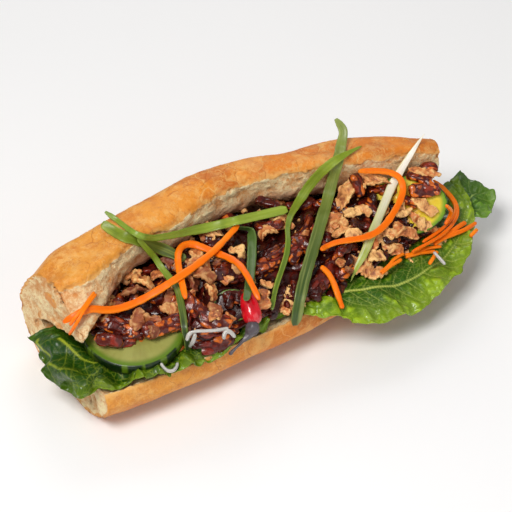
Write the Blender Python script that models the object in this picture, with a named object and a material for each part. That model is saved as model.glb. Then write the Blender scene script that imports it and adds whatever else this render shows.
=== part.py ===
"""Tempeh sandwich: an opened half baguette with lettuce, cucumber, glazed tempeh and shredded toppings.

Frame: X runs along the loaf, Y from the open front (-Y) to the hinge (+Y), +Z is up. The origin is
on the flat of the loaf's underside. Sizes below are in millimetres; MM turns them into metres.
"""

import math
import random

import bmesh
import bpy
from mathutils import Matrix, Vector
from mathutils.bvhtree import BVHTree

MM = 0.001

# ---------------------------------------------------------------- driving dimensions, millimetres
LOAF_LEFT = -106.0
LOAF_RIGHT = 104.0
LOAF_RINGS = 25
CRUST_POINTS = 29
CRUMB_POINTS = 17

# Shape of the opened loaf at stations along X. front and back are the reach in Y, rim the height of
# the lower half's cut edge, (tangent_y, tangent_z) the back shoulder of the raised half, (lip_y,
# lip_z) its cut edge, and chin how far the torn crumb hangs out in front of that edge.
STATION_X = (-106, -95, -80, -60, -40, -15, 10, 35, 60, 82, 96, 104)
FRONT = (-37, -39, -41, -43, -44, -45, -45, -44, -41, -37, -34, -31)
RIM = (27, 27, 27, 27, 27, 26, 26, 25, 24, 24, 24, 24)
BACK = (41, 42, 43, 43, 43, 43, 41, 38, 33, 27, 21, 16)
TANGENT_Y = (21, 24, 25, 26, 27, 29, 27, 20, 15, 5, -4, -8)
TANGENT_Z = (59, 64, 66, 68, 69, 70, 69, 67, 66.5, 65.5, 64, 62)
LIP_Y = (3, -3, 0, 6, 6, 11, 11, 3, -6, -13, -17, -18)
LIP_Z = (62, 65, 66, 66, 66, 66, 66, 66, 66, 65, 63, 60)
CHIN = (24, 12, 4, 0, 0, 0, 0, 0, 0, 0, 0, 0)

LEAF_THICK = 0.9
GAP = 0.4

SEED = 11


# ---------------------------------------------------------------- small helpers
def hermite(values, knots, where):
    """A smooth value between the knots, like a bent batten held at each of them."""
    last = len(knots) - 1
    slopes = []
    for i in range(last + 1):
        a, b = max(i - 1, 0), min(i + 1, last)
        slopes.append((values[b] - values[a]) / (knots[b] - knots[a]))
    i = 0
    while i < last - 1 and where > knots[i + 1]:
        i += 1
    span = knots[i + 1] - knots[i]
    t = min(max((where - knots[i]) / span, 0.0), 1.0)
    return (
        (2 * t**3 - 3 * t**2 + 1) * values[i]
        + (t**3 - 2 * t**2 + t) * span * slopes[i]
        + (3 * t**2 - 2 * t**3) * values[i + 1]
        + (t**3 - t**2) * span * slopes[i + 1]
    )


def smooth_line(points, count):
    """count points on a smooth curve through the given ones, in any number of dimensions."""
    knots = [0.0]
    for a, b in zip(points, points[1:]):
        knots.append(knots[-1] + math.sqrt(math.dist(a, b)))
    steps = [knots[-1] * i / (count - 1) for i in range(count)]
    return [
        tuple(hermite([p[axis] for p in points], knots, s) for axis in range(len(points[0])))
        for s in steps
    ]


def at_station(values, x):
    return hermite(values, STATION_X, x)


def material(name, colour, roughness):
    made = bpy.data.materials.new(name)
    made.use_nodes = True
    shader = made.node_tree.nodes["Principled BSDF"]
    shader.inputs["Base Color"].default_value = (*colour, 1.0)
    shader.inputs["Roughness"].default_value = roughness
    shader.inputs["Metallic"].default_value = 0.0
    return made


def add_object(name, data, finish, collection):
    made = bpy.data.objects.new(name, data)
    collection.objects.link(made)
    if finish is not None:
        made.data.materials.append(finish)
    return made


def mesh_from(shape, name):
    """A mesh data block from a bmesh whose coordinates are in millimetres."""
    bmesh.ops.scale(shape, vec=(MM, MM, MM), verts=shape.verts)
    bmesh.ops.recalc_face_normals(shape, faces=shape.faces)
    data = bpy.data.meshes.new(name)
    shape.to_mesh(data)
    shape.free()
    data.shade_smooth()
    data.set_sharp_from_angle(angle=math.radians(50))
    return data


# ---------------------------------------------------------------- the loaf
def loaf_section(x):
    """The crust's and the crumb's outlines in (y, z) at x; both run from the lower rim to the lip."""
    front, back = at_station(FRONT, x), at_station(BACK, x)
    rim = at_station(RIM, x)
    lip_y, lip_z = at_station(LIP_Y, x), at_station(LIP_Z, x)
    shoulder_y, shoulder_z = at_station(TANGENT_Y, x), at_station(TANGENT_Z, x)
    chin = at_station(CHIN, x)
    crust = [
        (front, rim),
        (front - 1.5, rim * 0.62),
        (front + 4.5, 8.5),
        (front + 17, 1.8),
        (-11, 0),
        (min(11, back - 24), 0),
        (back - 15, 1.8),
        (back - 3, 11),
        (back, 25),
        (back - 2.5, 0.62 * shoulder_z),
        (shoulder_y, shoulder_z),
        (0.5 * (lip_y + shoulder_y), shoulder_z + 2.5),
        (lip_y + 2, lip_z + 3.5),
        (lip_y, lip_z),
    ]
    crumb = [
        (front, rim),
        (front + 5, rim - 1),
        (0.4 * front, rim - 3),
        (back - 27, rim - 3),
        (back - 17, rim + 2),
        (back - 15, 0.5 * lip_z + 3),
        (lip_y - 0.5 * chin + 7, lip_z - 22),
        (lip_y - chin + 1, lip_z - 15),
        (lip_y - 0.4 * chin, lip_z - 7),
        (lip_y, lip_z),
    ]
    outside = [(y, max(z, 0.0)) for y, z in smooth_line(crust, CRUST_POINTS)]
    return outside, smooth_line(crumb, CRUMB_POINTS)


def end_face(shape, ring, turn):
    """Fills the C-shaped end of the loaf with triangles laddered between its crust and crumb rows."""
    crust = ring[:CRUST_POINTS]
    crumb = [ring[0]] + ring[CRUST_POINTS:][::-1] + [ring[CRUST_POINTS - 1]]
    i = j = 0
    while i < len(crust) - 1 or j < len(crumb) - 1:
        ahead = (i + 1) / (len(crust) - 1) <= (j + 1) / (len(crumb) - 1)
        if j == len(crumb) - 1 or (i < len(crust) - 1 and ahead):
            corners = (crust[i], crust[i + 1], crumb[j])
            i += 1
        else:
            corners = (crust[i], crumb[j + 1], crumb[j])
            j += 1
        if len(set(corners)) == 3:
            shape.faces.new(corners[::turn])


def loaf_mesh():
    """Rings of the C-shaped section lofted along the loaf, both ends cut flat."""
    shape = bmesh.new()
    rings = []
    for i in range(LOAF_RINGS):
        x = LOAF_LEFT + (LOAF_RIGHT - LOAF_LEFT) * i / (LOAF_RINGS - 1)
        crust, crumb = loaf_section(x)
        outline = crust + crumb[1:-1][::-1]
        rings.append([shape.verts.new((x, y, z)) for y, z in outline])
    count = len(rings[0])
    for a, b in zip(rings, rings[1:]):
        for j in range(count):
            k = (j + 1) % count
            shape.faces.new((a[j], a[k], b[k], b[j]))
    end_face(shape, rings[0], 1)
    end_face(shape, rings[-1], -1)
    return mesh_from(shape, "baguette")


# ---------------------------------------------------------------- what each new piece rests on or clears
class Surroundings:
    """The pieces already placed, asked what a new one comes to rest on."""

    def __init__(self):
        self.trees = []

    def add(self, data):
        """Takes in a finished mesh, given in metres."""
        shape = bmesh.new()
        shape.from_mesh(data)
        bmesh.ops.scale(shape, vec=(1 / MM, 1 / MM, 1 / MM), verts=shape.verts)
        self.trees.append(BVHTree.FromBMesh(shape))
        shape.free()

    def under(self, point):
        """Where something let down along -LAID through the point first lands, and the normal there."""
        first, found = 1e9, None
        for tree in self.trees:
            spot, normal, _, reach = tree.ray_cast(point + LAID * 80, -LAID)
            if spot is not None and reach < first:
                first, found = reach, (spot, normal)
        return found

    def touches(self, shape):
        """Whether a bmesh in millimetres crosses any piece already placed."""
        tree = BVHTree.FromBMesh(shape)
        return any(tree.overlap(other) for other in self.trees)


# The direction that the toppings were laid from: above the open front, towards the left.
LAID = Vector((-0.426, -0.609, 0.669)).normalized()


# ---------------------------------------------------------------- lettuce
def leaf_mesh(name, inner, middle, outer, columns, rows, ripple, waves, seed):
    """A thin wavy leaf swept from its inner edge over the rim of the loaf to its frilled outer edge."""
    rng = random.Random(seed)
    phase = [rng.uniform(0, math.tau) for _ in range(4)]
    edges = [smooth_line(line, columns) for line in (inner, middle, outer)]
    centre = []
    for i in range(columns):
        ribs = smooth_line([Vector(edge[i]) for edge in edges], rows)
        row = []
        for j, point in enumerate(ribs):
            v = j / (rows - 1)
            u = i / (columns - 1)
            wave = math.sin(waves * math.tau * u + phase[0]) + 0.5 * math.sin(
                1.9 * waves * math.tau * u + phase[1] + 2 * v
            )
            fold = 0.4 * math.sin(5 * v * math.pi + phase[2])
            row.append(Vector(point) + Vector((0, 0, ripple * v * v * (wave + fold))))
        centre.append(row)
    shape = bmesh.new()
    top, bottom = [], []
    for i in range(columns):
        top.append([])
        bottom.append([])
        for j in range(rows):
            along = centre[min(i + 1, columns - 1)][j] - centre[max(i - 1, 0)][j]
            across = centre[i][min(j + 1, rows - 1)] - centre[i][max(j - 1, 0)]
            normal = along.cross(across).normalized()
            if normal.z < 0:
                normal = -normal
            half = 0.5 * LEAF_THICK * normal
            top[i].append(shape.verts.new(centre[i][j] + half))
            bottom[i].append(shape.verts.new(centre[i][j] - half))
    for i in range(columns - 1):
        for j in range(rows - 1):
            for grid, turn in ((top, 1), (bottom, -1)):
                a, b, c, d = grid[i][j], grid[i + 1][j], grid[i + 1][j + 1], grid[i][j + 1]
                for face in ((a, b, c), (a, c, d)):
                    shape.faces.new(face[::turn])
    rim = [(i, 0) for i in range(columns)] + [(columns - 1, j) for j in range(1, rows)]
    rim += [(i, rows - 1) for i in range(columns - 2, -1, -1)] + [(0, j) for j in range(rows - 2, 0, -1)]
    for (i, j), (k, m) in zip(rim, rim[1:] + rim[:1]):
        a, b, c, d = top[i][j], top[k][m], bottom[k][m], bottom[i][j]
        shape.faces.new((a, c, b))
        shape.faces.new((a, d, c))
    return mesh_from(shape, name)


LEAVES = {
    "lettuce_left": dict(
        inner=[
            (-94, 8, 28.5), (-93, -6, 27.5), (-88, -16, 27), (-70, -22, 26.8), (-45, -24, 26.5),
            (-12, -24, 26),
        ],
        middle=[
            (-108, 12, 31), (-109, -6, 30.5), (-107.5, -26, 29.8), (-84, -37, 28.8),
            (-50, -39, 28.4), (-8, -39, 27.8),
        ],
        outer=[
            (-115, 14, 24), (-121.5, -6, 21), (-117, -27, 22), (-107, -36, 28.5), (-92, -40, 29),
            (-66, -45.5, 28), (-5, -45, 28.3),
        ],
        columns=36, rows=7, ripple=0.8, waves=7, seed=3,
    ),
    "lettuce_tip": dict(
        inner=[(92, -24, 24.6), (93, -18, 24), (94, -13, 24)],
        middle=[(107, -31, 25.2), (110, -22, 25), (107, -13, 25)],
        outer=[(121, -39, 22), (138, -27, 23), (130, -6, 27)],
        columns=14, rows=7, ripple=0.7, waves=2, seed=8,
    ),
    "lettuce_right": dict(
        inner=[
            (-6, -22, 29), (20, -24, 28), (45, -22, 27.5), (68, -20, 27.2), (86, -16, 27),
            (92, -9, 27),
        ],
        middle=[
            (-5, -44, 30.5), (18, -47, 28.5), (46, -47, 28), (74, -43, 28), (103, -33, 28.5),
            (107, -12, 29.5),
        ],
        outer=[
            (-2, -49, 30), (18, -60, 22), (46, -71, 19), (84, -62, 20), (112, -41, 25),
            (124, -12, 31),
        ],
        columns=34, rows=8, ripple=1.2, waves=5, seed=5,
    ),
}


# ---------------------------------------------------------------- cucumber
def slice_shape(centre, facing, radius, squash, thick, seed, grow=0.0, sides=28):
    """A round slice, slightly out of true, its face turned to (azimuth, elevation) in degrees."""
    rng = random.Random(seed)
    wobble = [rng.uniform(0, math.tau) for _ in range(2)]
    azimuth, elevation = (math.radians(a) for a in facing)
    right = Vector((math.cos(azimuth), math.sin(azimuth), 0))
    level = math.cos(elevation)
    out = Vector((math.sin(azimuth) * level, -math.cos(azimuth) * level, math.sin(elevation)))
    up = out.cross(right)
    shape = bmesh.new()
    rings = []
    for z, scale in ((-0.5, 0.94), (-0.36, 1.0), (0.36, 1.0), (0.5, 0.94)):
        ring = []
        for k in range(sides):
            a = math.tau * k / sides
            r = radius * (1 + 0.02 * math.sin(2 * a + wobble[0]) + 0.012 * math.sin(3 * a + wobble[1]))
            r = r * scale + grow
            spot = right * (r * math.cos(a)) + up * (squash * r * math.sin(a))
            spot += out * (z * (thick + 2 * grow)) + Vector(centre)
            ring.append(shape.verts.new(spot))
        rings.append(ring)
    for a, b in zip(rings, rings[1:]):
        for k in range(sides):
            m = (k + 1) % sides
            shape.faces.new((a[k], a[m], b[m], b[k]))
    shape.faces.new(rings[0][::-1])
    shape.faces.new(rings[-1])
    return shape


SLICES = {
    "cucumber_left": dict(
        centre=(-77, -16.5, 36.5), facing=(-35, 82),
        radius=24.3, squash=1.0, thick=6.0, seed=1
    ),
    "cucumber_middle": dict(
        centre=(-31, -31, 38), facing=(-35, 50),
        radius=9.0, squash=0.9, thick=4.0, seed=4
    ),
    "cucumber_right": dict(
        centre=(77, -25, 43), facing=(-35, 47),
        radius=21.5, squash=0.7, thick=4.5, seed=2
    ),
}


# ---------------------------------------------------------------- the glazed heap
HEAP_X = (-97, -88, -70, -50, -30, 0, 30, 60, 85, 97)
HEAP_FRONT = (-12, -22, -31, -41, -42, -42, -42, -41, -37, -27)
HEAP_CREST = (43, 48, 50, 51, 51, 51, 51, 50, 47, 42)
HEAP_DIP = (0, 0, 0.5, 1, 1, 1, 1, 1, 0, 0)
HEAP_KEEL = (-8, -8, -12, -13, -13, -13, -12, -10, -8, -6)
HEAP_RINGS = 21
HEAP_POINTS = 26


def crumb_reach(x, z):
    """How far back the cavity goes at height z: the nearest crumb in y around x."""
    nearest = 1e9
    for near in (x - 3, x, x + 3):
        inside = min(max(near, LOAF_LEFT), LOAF_RIGHT)
        crumb = loaf_section(inside)[1]
        for (y0, z0), (y1, z1) in zip(crumb, crumb[1:]):
            if y0 > -8 or y1 > -8 or z0 > 36 or z1 > 36:
                if min(z0, z1) <= z <= max(z0, z1) and abs(z1 - z0) > 1e-9:
                    nearest = min(nearest, y0 + (y1 - y0) * (z - z0) / (z1 - z0))
    return nearest


def heap_section(x):
    """The heap's closed outline at x, from the front foot over the crest and back along the floor."""
    front = hermite(HEAP_FRONT, HEAP_X, x)
    crest = hermite(HEAP_CREST, HEAP_X, x)
    floor = at_station(RIM, x) + 6.0
    rise = crest - floor

    def back(z):
        return min(crumb_reach(x, z + dz) for dz in (-1.5, 0, 1.5)) - 1.6

    width = min(back(crest), 12) - front
    top = [
        (front, floor),
        (front + 0.02 * width, floor + 0.2 * rise),
        (front + 0.18 * width, floor + 0.52 * rise),
        (front + 0.46 * width, floor + 0.78 * rise),
        (front + 0.72 * width, floor + 0.95 * rise),
        (front + width, crest - 0.3),
    ]
    top += [(back(z), z) for z in (crest - 0.25 * rise, crest - 0.5 * rise, floor + 0.2 * rise)]
    keel = floor - hermite(HEAP_DIP, HEAP_X, x) * 7.6
    keel_front, keel_back = hermite(HEAP_KEEL, HEAP_X, x), min(back(floor) - 6, at_station(BACK, x) - 31)
    top += [(back(floor + 1) - 3, floor), (max(keel_back, keel_front + 6), keel)]
    top += [(keel_front, keel), (keel_front - 5, floor - 0.8), (0.5 * (front + keel_front - 5), floor)]
    return smooth_line(top + [top[0]], HEAP_POINTS + 1)[:-1]


def heap_core():
    """The lumpy core of the heap, as a bmesh in millimetres."""
    rng = random.Random(SEED)
    shape = bmesh.new()
    rings = []
    for i in range(HEAP_RINGS):
        x = HEAP_X[0] + (HEAP_X[-1] - HEAP_X[0]) * i / (HEAP_RINGS - 1)
        section = heap_section(x)
        ring = []
        for k, (y, z) in enumerate(section):
            lump = rng.uniform(-1.3, 0.6) if 1 < k < 11 else 0.0
            ring.append(shape.verts.new((x, y, z + lump)))
        rings.append(ring)
    count = len(rings[0])
    for a, b in zip(rings, rings[1:]):
        for j in range(count):
            k = (j + 1) % count
            shape.faces.new((a[j], a[k], b[k], b[j]))
    shape.faces.new(rings[0])
    shape.faces.new(rings[-1][::-1])
    bmesh.ops.triangulate(shape, faces=shape.faces)
    bmesh.ops.recalc_face_normals(shape, faces=shape.faces)
    return shape


# Showing pieces of the heap: x, y, length, width, heading in degrees.
TEMPEH = (
    (-84, -21, 21, 7, -24), (-87, -13, 12, 5, -16), (-62, -28, 11, 6, -9), (-69, -37, 15, 7, -50),
    (-48, -25, 11, 6, -17), (-50, -33, 12, 7, -58), (-44, -37, 15, 6, -90), (-25, -19, 17, 9, 8),
    (-48, -38, 21, 7, -18), (-63, -39, 8, 5, 9), (-62, 1, 11, 6, -65), (-66, -16, 9, 5, -72),
    (15, 11, 11, 5, -74), (-2, -20, 24, 5, 14), (-4, -25, 27, 4, 16), (24, -12, 16, 5, 18),
    (15, -31, 13, 5, -35), (5, -46, 11, 6, 12), (10, -42, 10, 5, 4), (-15, -41, 9, 5, 42),
    (60, -6, 13, 7, -119), (85, -26, 16, 8, -12), (85, -20, 8, 5, -40), (96, -17, 8, 4, -6),
    (58, -21, 10, 5, -112), (47, -25, 12, 5, -42), (32, -35, 14, 6, -114), (28, -44, 10, 5, 7),
    (17, -22, 4, 5, -12), (0, -14, 10, 5, -3),
)
FLAKES = (
    (-70, 5, 9, 5, -28), (-76, 2, 7, 3, -46), (-67, -6, 10, 5, -56), (-72, -9, 10, 3, -18),
    (-77, -18, 9, 6, 51), (-69, -20, 10, 5, -42), (-46, 1, 8, 5, -75), (-59, -17, 10, 8, 50),
    (-62, -23, 11, 5, -28), (-47, -16, 10, 5, 53), (-36, -10, 11, 7, -20), (-38, -17, 11, 6, -75),
    (-42, -23, 7, 5, -94), (-57, -33, 5, 5, -35), (-76, -30, 5, 5, 50), (-71, -25, 8, 3, -97),
    (-45, -34, 8, 5, -110), (-18, 3, 8, 6, 17), (-9, -2, 6, 4, -6), (14, -4, 9, 7, -64),
    (4, -12, 9, 5, 0), (-11, -29, 9, 3, -20), (-3, -39, 11, 10, 25), (-9, -42, 7, 6, -75),
    (-18, -37, 10, 5, 48), (37, -19, 11, 8, -88), (38, -24, 11, 3, -9), (25, -40, 8, 4, -109),
    (64, -11, 20, 5, -6), (52, -14, 12, 3, -35), (47, -21, 10, 5, 11), (97, -16, 14, 4, -43),
    (83, -33, 11, 5, -58), (81, -37, 16, 5, -87), (72, -29, 8, 5, -35), (68, -33, 8, 7, 31),
    (67, -39, 10, 5, -118), (59, -37, 10, 7, -77), (53, -38, 11, 7, -7), (41, -41, 18, 9, -77),
    (47, -41, 9, 4, -7), (62, -46, 7, 3, -107), (66, -48, 12, 3, -14),
)


def tempeh_piece(length, width, rng):
    """A blunt, bent bar with six sides, lying along X."""
    shape = bmesh.new()
    bend = rng.uniform(-0.12, 0.12) * length
    rings = []
    for along, scale in ((-0.5, 0.55), (-0.3, 1.0), (0.12, rng.uniform(0.8, 1.05)), (0.5, 0.5)):
        ring = []
        for k in range(6):
            a = math.tau * k / 6 + 0.3
            r = 0.5 * width * scale * rng.uniform(0.88, 1.1)
            y = r * math.cos(a) + bend * (1 - 4 * along * along)
            ring.append(shape.verts.new((along * length, y, 0.72 * r * math.sin(a))))
        rings.append(ring)
    for a, b in zip(rings, rings[1:]):
        for k in range(6):
            m = (k + 1) % 6
            shape.faces.new((a[k], a[m], b[m], b[k]))
    shape.faces.new(rings[0][::-1])
    shape.faces.new(rings[-1])
    return shape


def flake_piece(length, width, rng):
    """A crisp curled flake with an uneven six-sided outline, its length along X."""
    shape = bmesh.new()
    lower, upper = [], []
    curl = rng.uniform(0.04, 0.1) * length
    for k in range(6):
        a = math.tau * k / 6 + rng.uniform(-0.25, 0.25)
        x = 0.5 * length * math.cos(a) * rng.uniform(0.85, 1.1)
        y = 0.5 * width * math.sin(a) * rng.uniform(0.85, 1.15)
        lift = curl * math.cos(2 * a) + rng.uniform(-0.3, 0.3)
        lower.append(shape.verts.new((x, y, lift - 1.3)))
        upper.append(shape.verts.new((0.92 * x, 0.92 * y, lift + 1.1)))
    for k in range(6):
        m = (k + 1) % 6
        shape.faces.new((lower[k], lower[m], upper[m], upper[k]))
    shape.faces.new(lower[::-1])
    shape.faces.new(upper)
    return shape


def settle(shape, x, y, yaw, core, sink, limit=0.8):
    """Turns a piece to the slope of the core at (x, y), heads it along yaw and lets it sink in a little."""
    point, normal, _, _ = core.ray_cast(Vector((x, y, 90)), Vector((0, 0, -1)))
    if point is None:
        return False
    flat = Vector((normal.x, normal.y, 0))
    if flat.length > limit:
        normal = (flat.normalized() * limit + Vector((0, 0, 1 - limit * 0.5))).normalized()
    tilt = Vector((0, 0, 1)).rotation_difference(normal).to_matrix()
    turn = tilt @ Matrix.Rotation(math.radians(yaw), 3, "Z")
    for vert in shape.verts:
        vert.co = turn @ vert.co + point + normal * sink
    return True


def combine(heap, operation, tools):
    """Joins to or cuts from the heap every object of a collection, then removes them."""
    change = heap.modifiers.new(tools.name, "BOOLEAN")
    change.operation = operation
    change.solver = "MANIFOLD"
    change.operand_type = "COLLECTION"
    change.collection = tools
    bpy.context.view_layer.update()
    joined = bpy.data.meshes.new_from_object(heap.evaluated_get(bpy.context.evaluated_depsgraph_get()))
    heap.modifiers.clear()
    heap.data = joined
    heap.data.name = heap.name
    for tool in list(tools.objects):
        bpy.data.objects.remove(tool, do_unlink=True)
    bpy.data.collections.remove(tools)


def keep_largest(data):
    """Fills sealed hollows and drops loose scraps: only the largest shell of the mesh stays."""
    shape = bmesh.new()
    shape.from_mesh(data)
    unseen, shells = set(shape.verts), []
    while unseen:
        front = [unseen.pop()]
        shell = set(front)
        while front:
            for edge in front.pop().link_edges:
                for vert in edge.verts:
                    if vert in unseen:
                        unseen.discard(vert)
                        shell.add(vert)
                        front.append(vert)
        shells.append(shell)
    shells.sort(key=len)
    for shell in shells[:-1]:
        bmesh.ops.delete(shape, geom=list(shell), context="VERTS")
    bmesh.ops.dissolve_degenerate(shape, dist=2e-6, edges=shape.edges)
    bmesh.ops.triangulate(shape, faces=shape.faces)
    shape.to_mesh(data)
    shape.free()


def heap_mesh(below, collection, finish):
    """The heap: its core with the showing tempeh and crisp flakes fused on, cut clear of the slices."""
    rng = random.Random(SEED + 1)
    core_shape = heap_core()
    core = BVHTree.FromBMesh(core_shape)
    heap = add_object("tempeh_heap", mesh_from(core_shape, "tempeh_heap"), finish, collection)
    pieces = bpy.data.collections.new("heap_pieces")
    bpy.context.scene.collection.children.link(pieces)
    plans = [(tempeh_piece, plan, 1.6) for plan in TEMPEH] + [(flake_piece, plan, 1.3) for plan in FLAKES]
    for k, (make, (x, y, length, width, yaw), sink) in enumerate(plans):
        shape = make(length, width, rng)
        bmesh.ops.triangulate(shape, faces=shape.faces)
        if settle(shape, x, y, yaw, core, sink) and not below.touches(shape):
            add_object(f"piece_{k}", mesh_from(shape, f"piece_{k}"), None, pieces)
        else:
            shape.free()
    combine(heap, "UNION", pieces)
    rooms = bpy.data.collections.new("rooms_for_slices")
    bpy.context.scene.collection.children.link(rooms)
    for name, sizes in SLICES.items():
        room = mesh_from(slice_shape(**sizes, grow=GAP, sides=20), "room_" + name)
        add_object("room_" + name, room, None, rooms)
    combine(heap, "DIFFERENCE", rooms)
    keep_largest(heap.data)
    return heap


# ---------------------------------------------------------------- strips laid over everything else
FINE = 4
STEEPEST = 0.35


def eased(rows, times):
    """Numbers or vectors with each inner one drawn towards its neighbours."""
    for _ in range(times):
        inner = [0.25 * a + 0.5 * b + 0.25 * c for a, b, c in zip(rows, rows[1:], rows[2:])]
        rows = [rows[0]] + inner + [rows[-1]]
    return rows


def facings(below, spots):
    """Which way the strip faces at each spot: off the surface under it, but never far from LAID."""
    ways = []
    for spot in spots:
        landed = below.under(spot)
        ways.append(LAID if landed is None or landed[1].dot(LAID) < STEEPEST else landed[1])
    ways = eased(ways, 4 * FINE)
    return [(way + 0.6 * LAID).normalized() for way in ways]


def sides_of(spots, ways):
    """Across the strip at each spot, square to its run and to the way it faces."""
    last = len(spots) - 1
    runs = [spots[min(i + 1, last)] - spots[max(i - 1, 0)] for i in range(last + 1)]
    return [way.cross(run).normalized() for way, run in zip(ways, runs)]


def lifts(below, spots, sides, halves, clearance, stiff):
    """How far each spot moves along LAID so that the strip lies on what is below it."""
    asked = []
    for spot, side, half in zip(spots, sides, halves):
        need = None
        for part in (-1.0, -0.5, 0.0, 0.5, 1.0):
            at = spot + side * half * part
            landed = below.under(at)
            if landed is not None:
                rise = (landed[0] - at).dot(LAID) + clearance / max(landed[1].dot(LAID), STEEPEST)
                need = rise if need is None else max(need, rise)
        asked.append(need)
    if stiff:
        return [max(need for need in asked if need is not None)] * len(asked)
    moves = [0.0 if need is None else need for need in asked]
    for _ in range(10 * FINE):
        moves = eased([moves[1]] + moves[1:-1] + [moves[-2]], 1)
        moves = [move if need is None else max(move, need) for move, need in zip(moves, asked)]
    return moves


def evenly(rows, spots, rings):
    """Picks rings of the rows, closer together where the strip turns."""
    effort = [0.0]
    for i in range(1, len(spots)):
        step = spots[i] - spots[i - 1]
        before = spots[i - 1] - spots[max(i - 2, 0)]
        turn = step.angle(before, 0.0) if before.length > 0 else 0.0
        effort.append(effort[-1] + step.length + 3.0 * turn)
    picked, k = [], 0
    for i in range(rings):
        goal = effort[-1] * i / (rings - 1)
        while k < len(effort) - 2 and effort[k + 1] < goal:
            k += 1
        share = min(max((goal - effort[k]) / (effort[k + 1] - effort[k]), 0.0), 1.0)
        picked.append([row[k] * (1 - share) + row[k + 1] * share for row in rows])
    return picked


def strip_shape(below, points, width, thick, rings, taper, clearance, stiff):
    """A four-sided strip through points, laid down on whatever is below."""
    count = FINE * (rings - 1) + 1
    spots = [Vector(p) for p in smooth_line(points, count)]
    places = list(range(len(taper)))
    halves = [0.5 * width * hermite(taper, places, places[-1] * i / (count - 1)) for i in range(count)]
    ways = facings(below, spots)
    for _ in range(2):
        moves = lifts(below, spots, sides_of(spots, ways), halves, clearance, stiff)
        spots = [spot + LAID * move for spot, move in zip(spots, moves)]
    picked = evenly((spots, ways, halves), spots, rings)
    centres = [row[0] for row in picked]
    shape = bmesh.new()
    sections, last = [], None
    for i, (spot, way, half) in enumerate(picked):
        run = (centres[min(i + 1, rings - 1)] - centres[max(i - 1, 0)]).normalized()
        natural = way.cross(run)
        if last is not None and natural.dot(last) < 0.4:
            natural = last - run * last.dot(run)
        last = natural.normalized()
        side = last * half
        up = run.cross(side).normalized() * 0.5 * thick
        corners = (spot - side - up, spot + side - up, spot + side + up, spot - side + up)
        sections.append([shape.verts.new(corner) for corner in corners])
    for a, b in zip(sections, sections[1:]):
        for k in range(4):
            m = (k + 1) % 4
            shape.faces.new((a[k], a[m], b[m]))
            shape.faces.new((a[k], b[m], b[k]))
    shape.faces.new(sections[0][::-1])
    shape.faces.new(sections[-1])
    return shape


def strip_mesh(name, below, points, width, thick, rings=12, taper=(0.8, 1, 1, 0.8), stiff=False):
    """A flat strip, laid a little higher each time it would still touch."""
    for lift in range(16):
        clearance = 0.5 * thick + GAP + 0.2 * lift
        shape = strip_shape(below, points, width, thick, rings, taper, clearance, stiff)
        if not below.touches(shape):
            return mesh_from(shape, name)
        shape.free()
    return None


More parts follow.
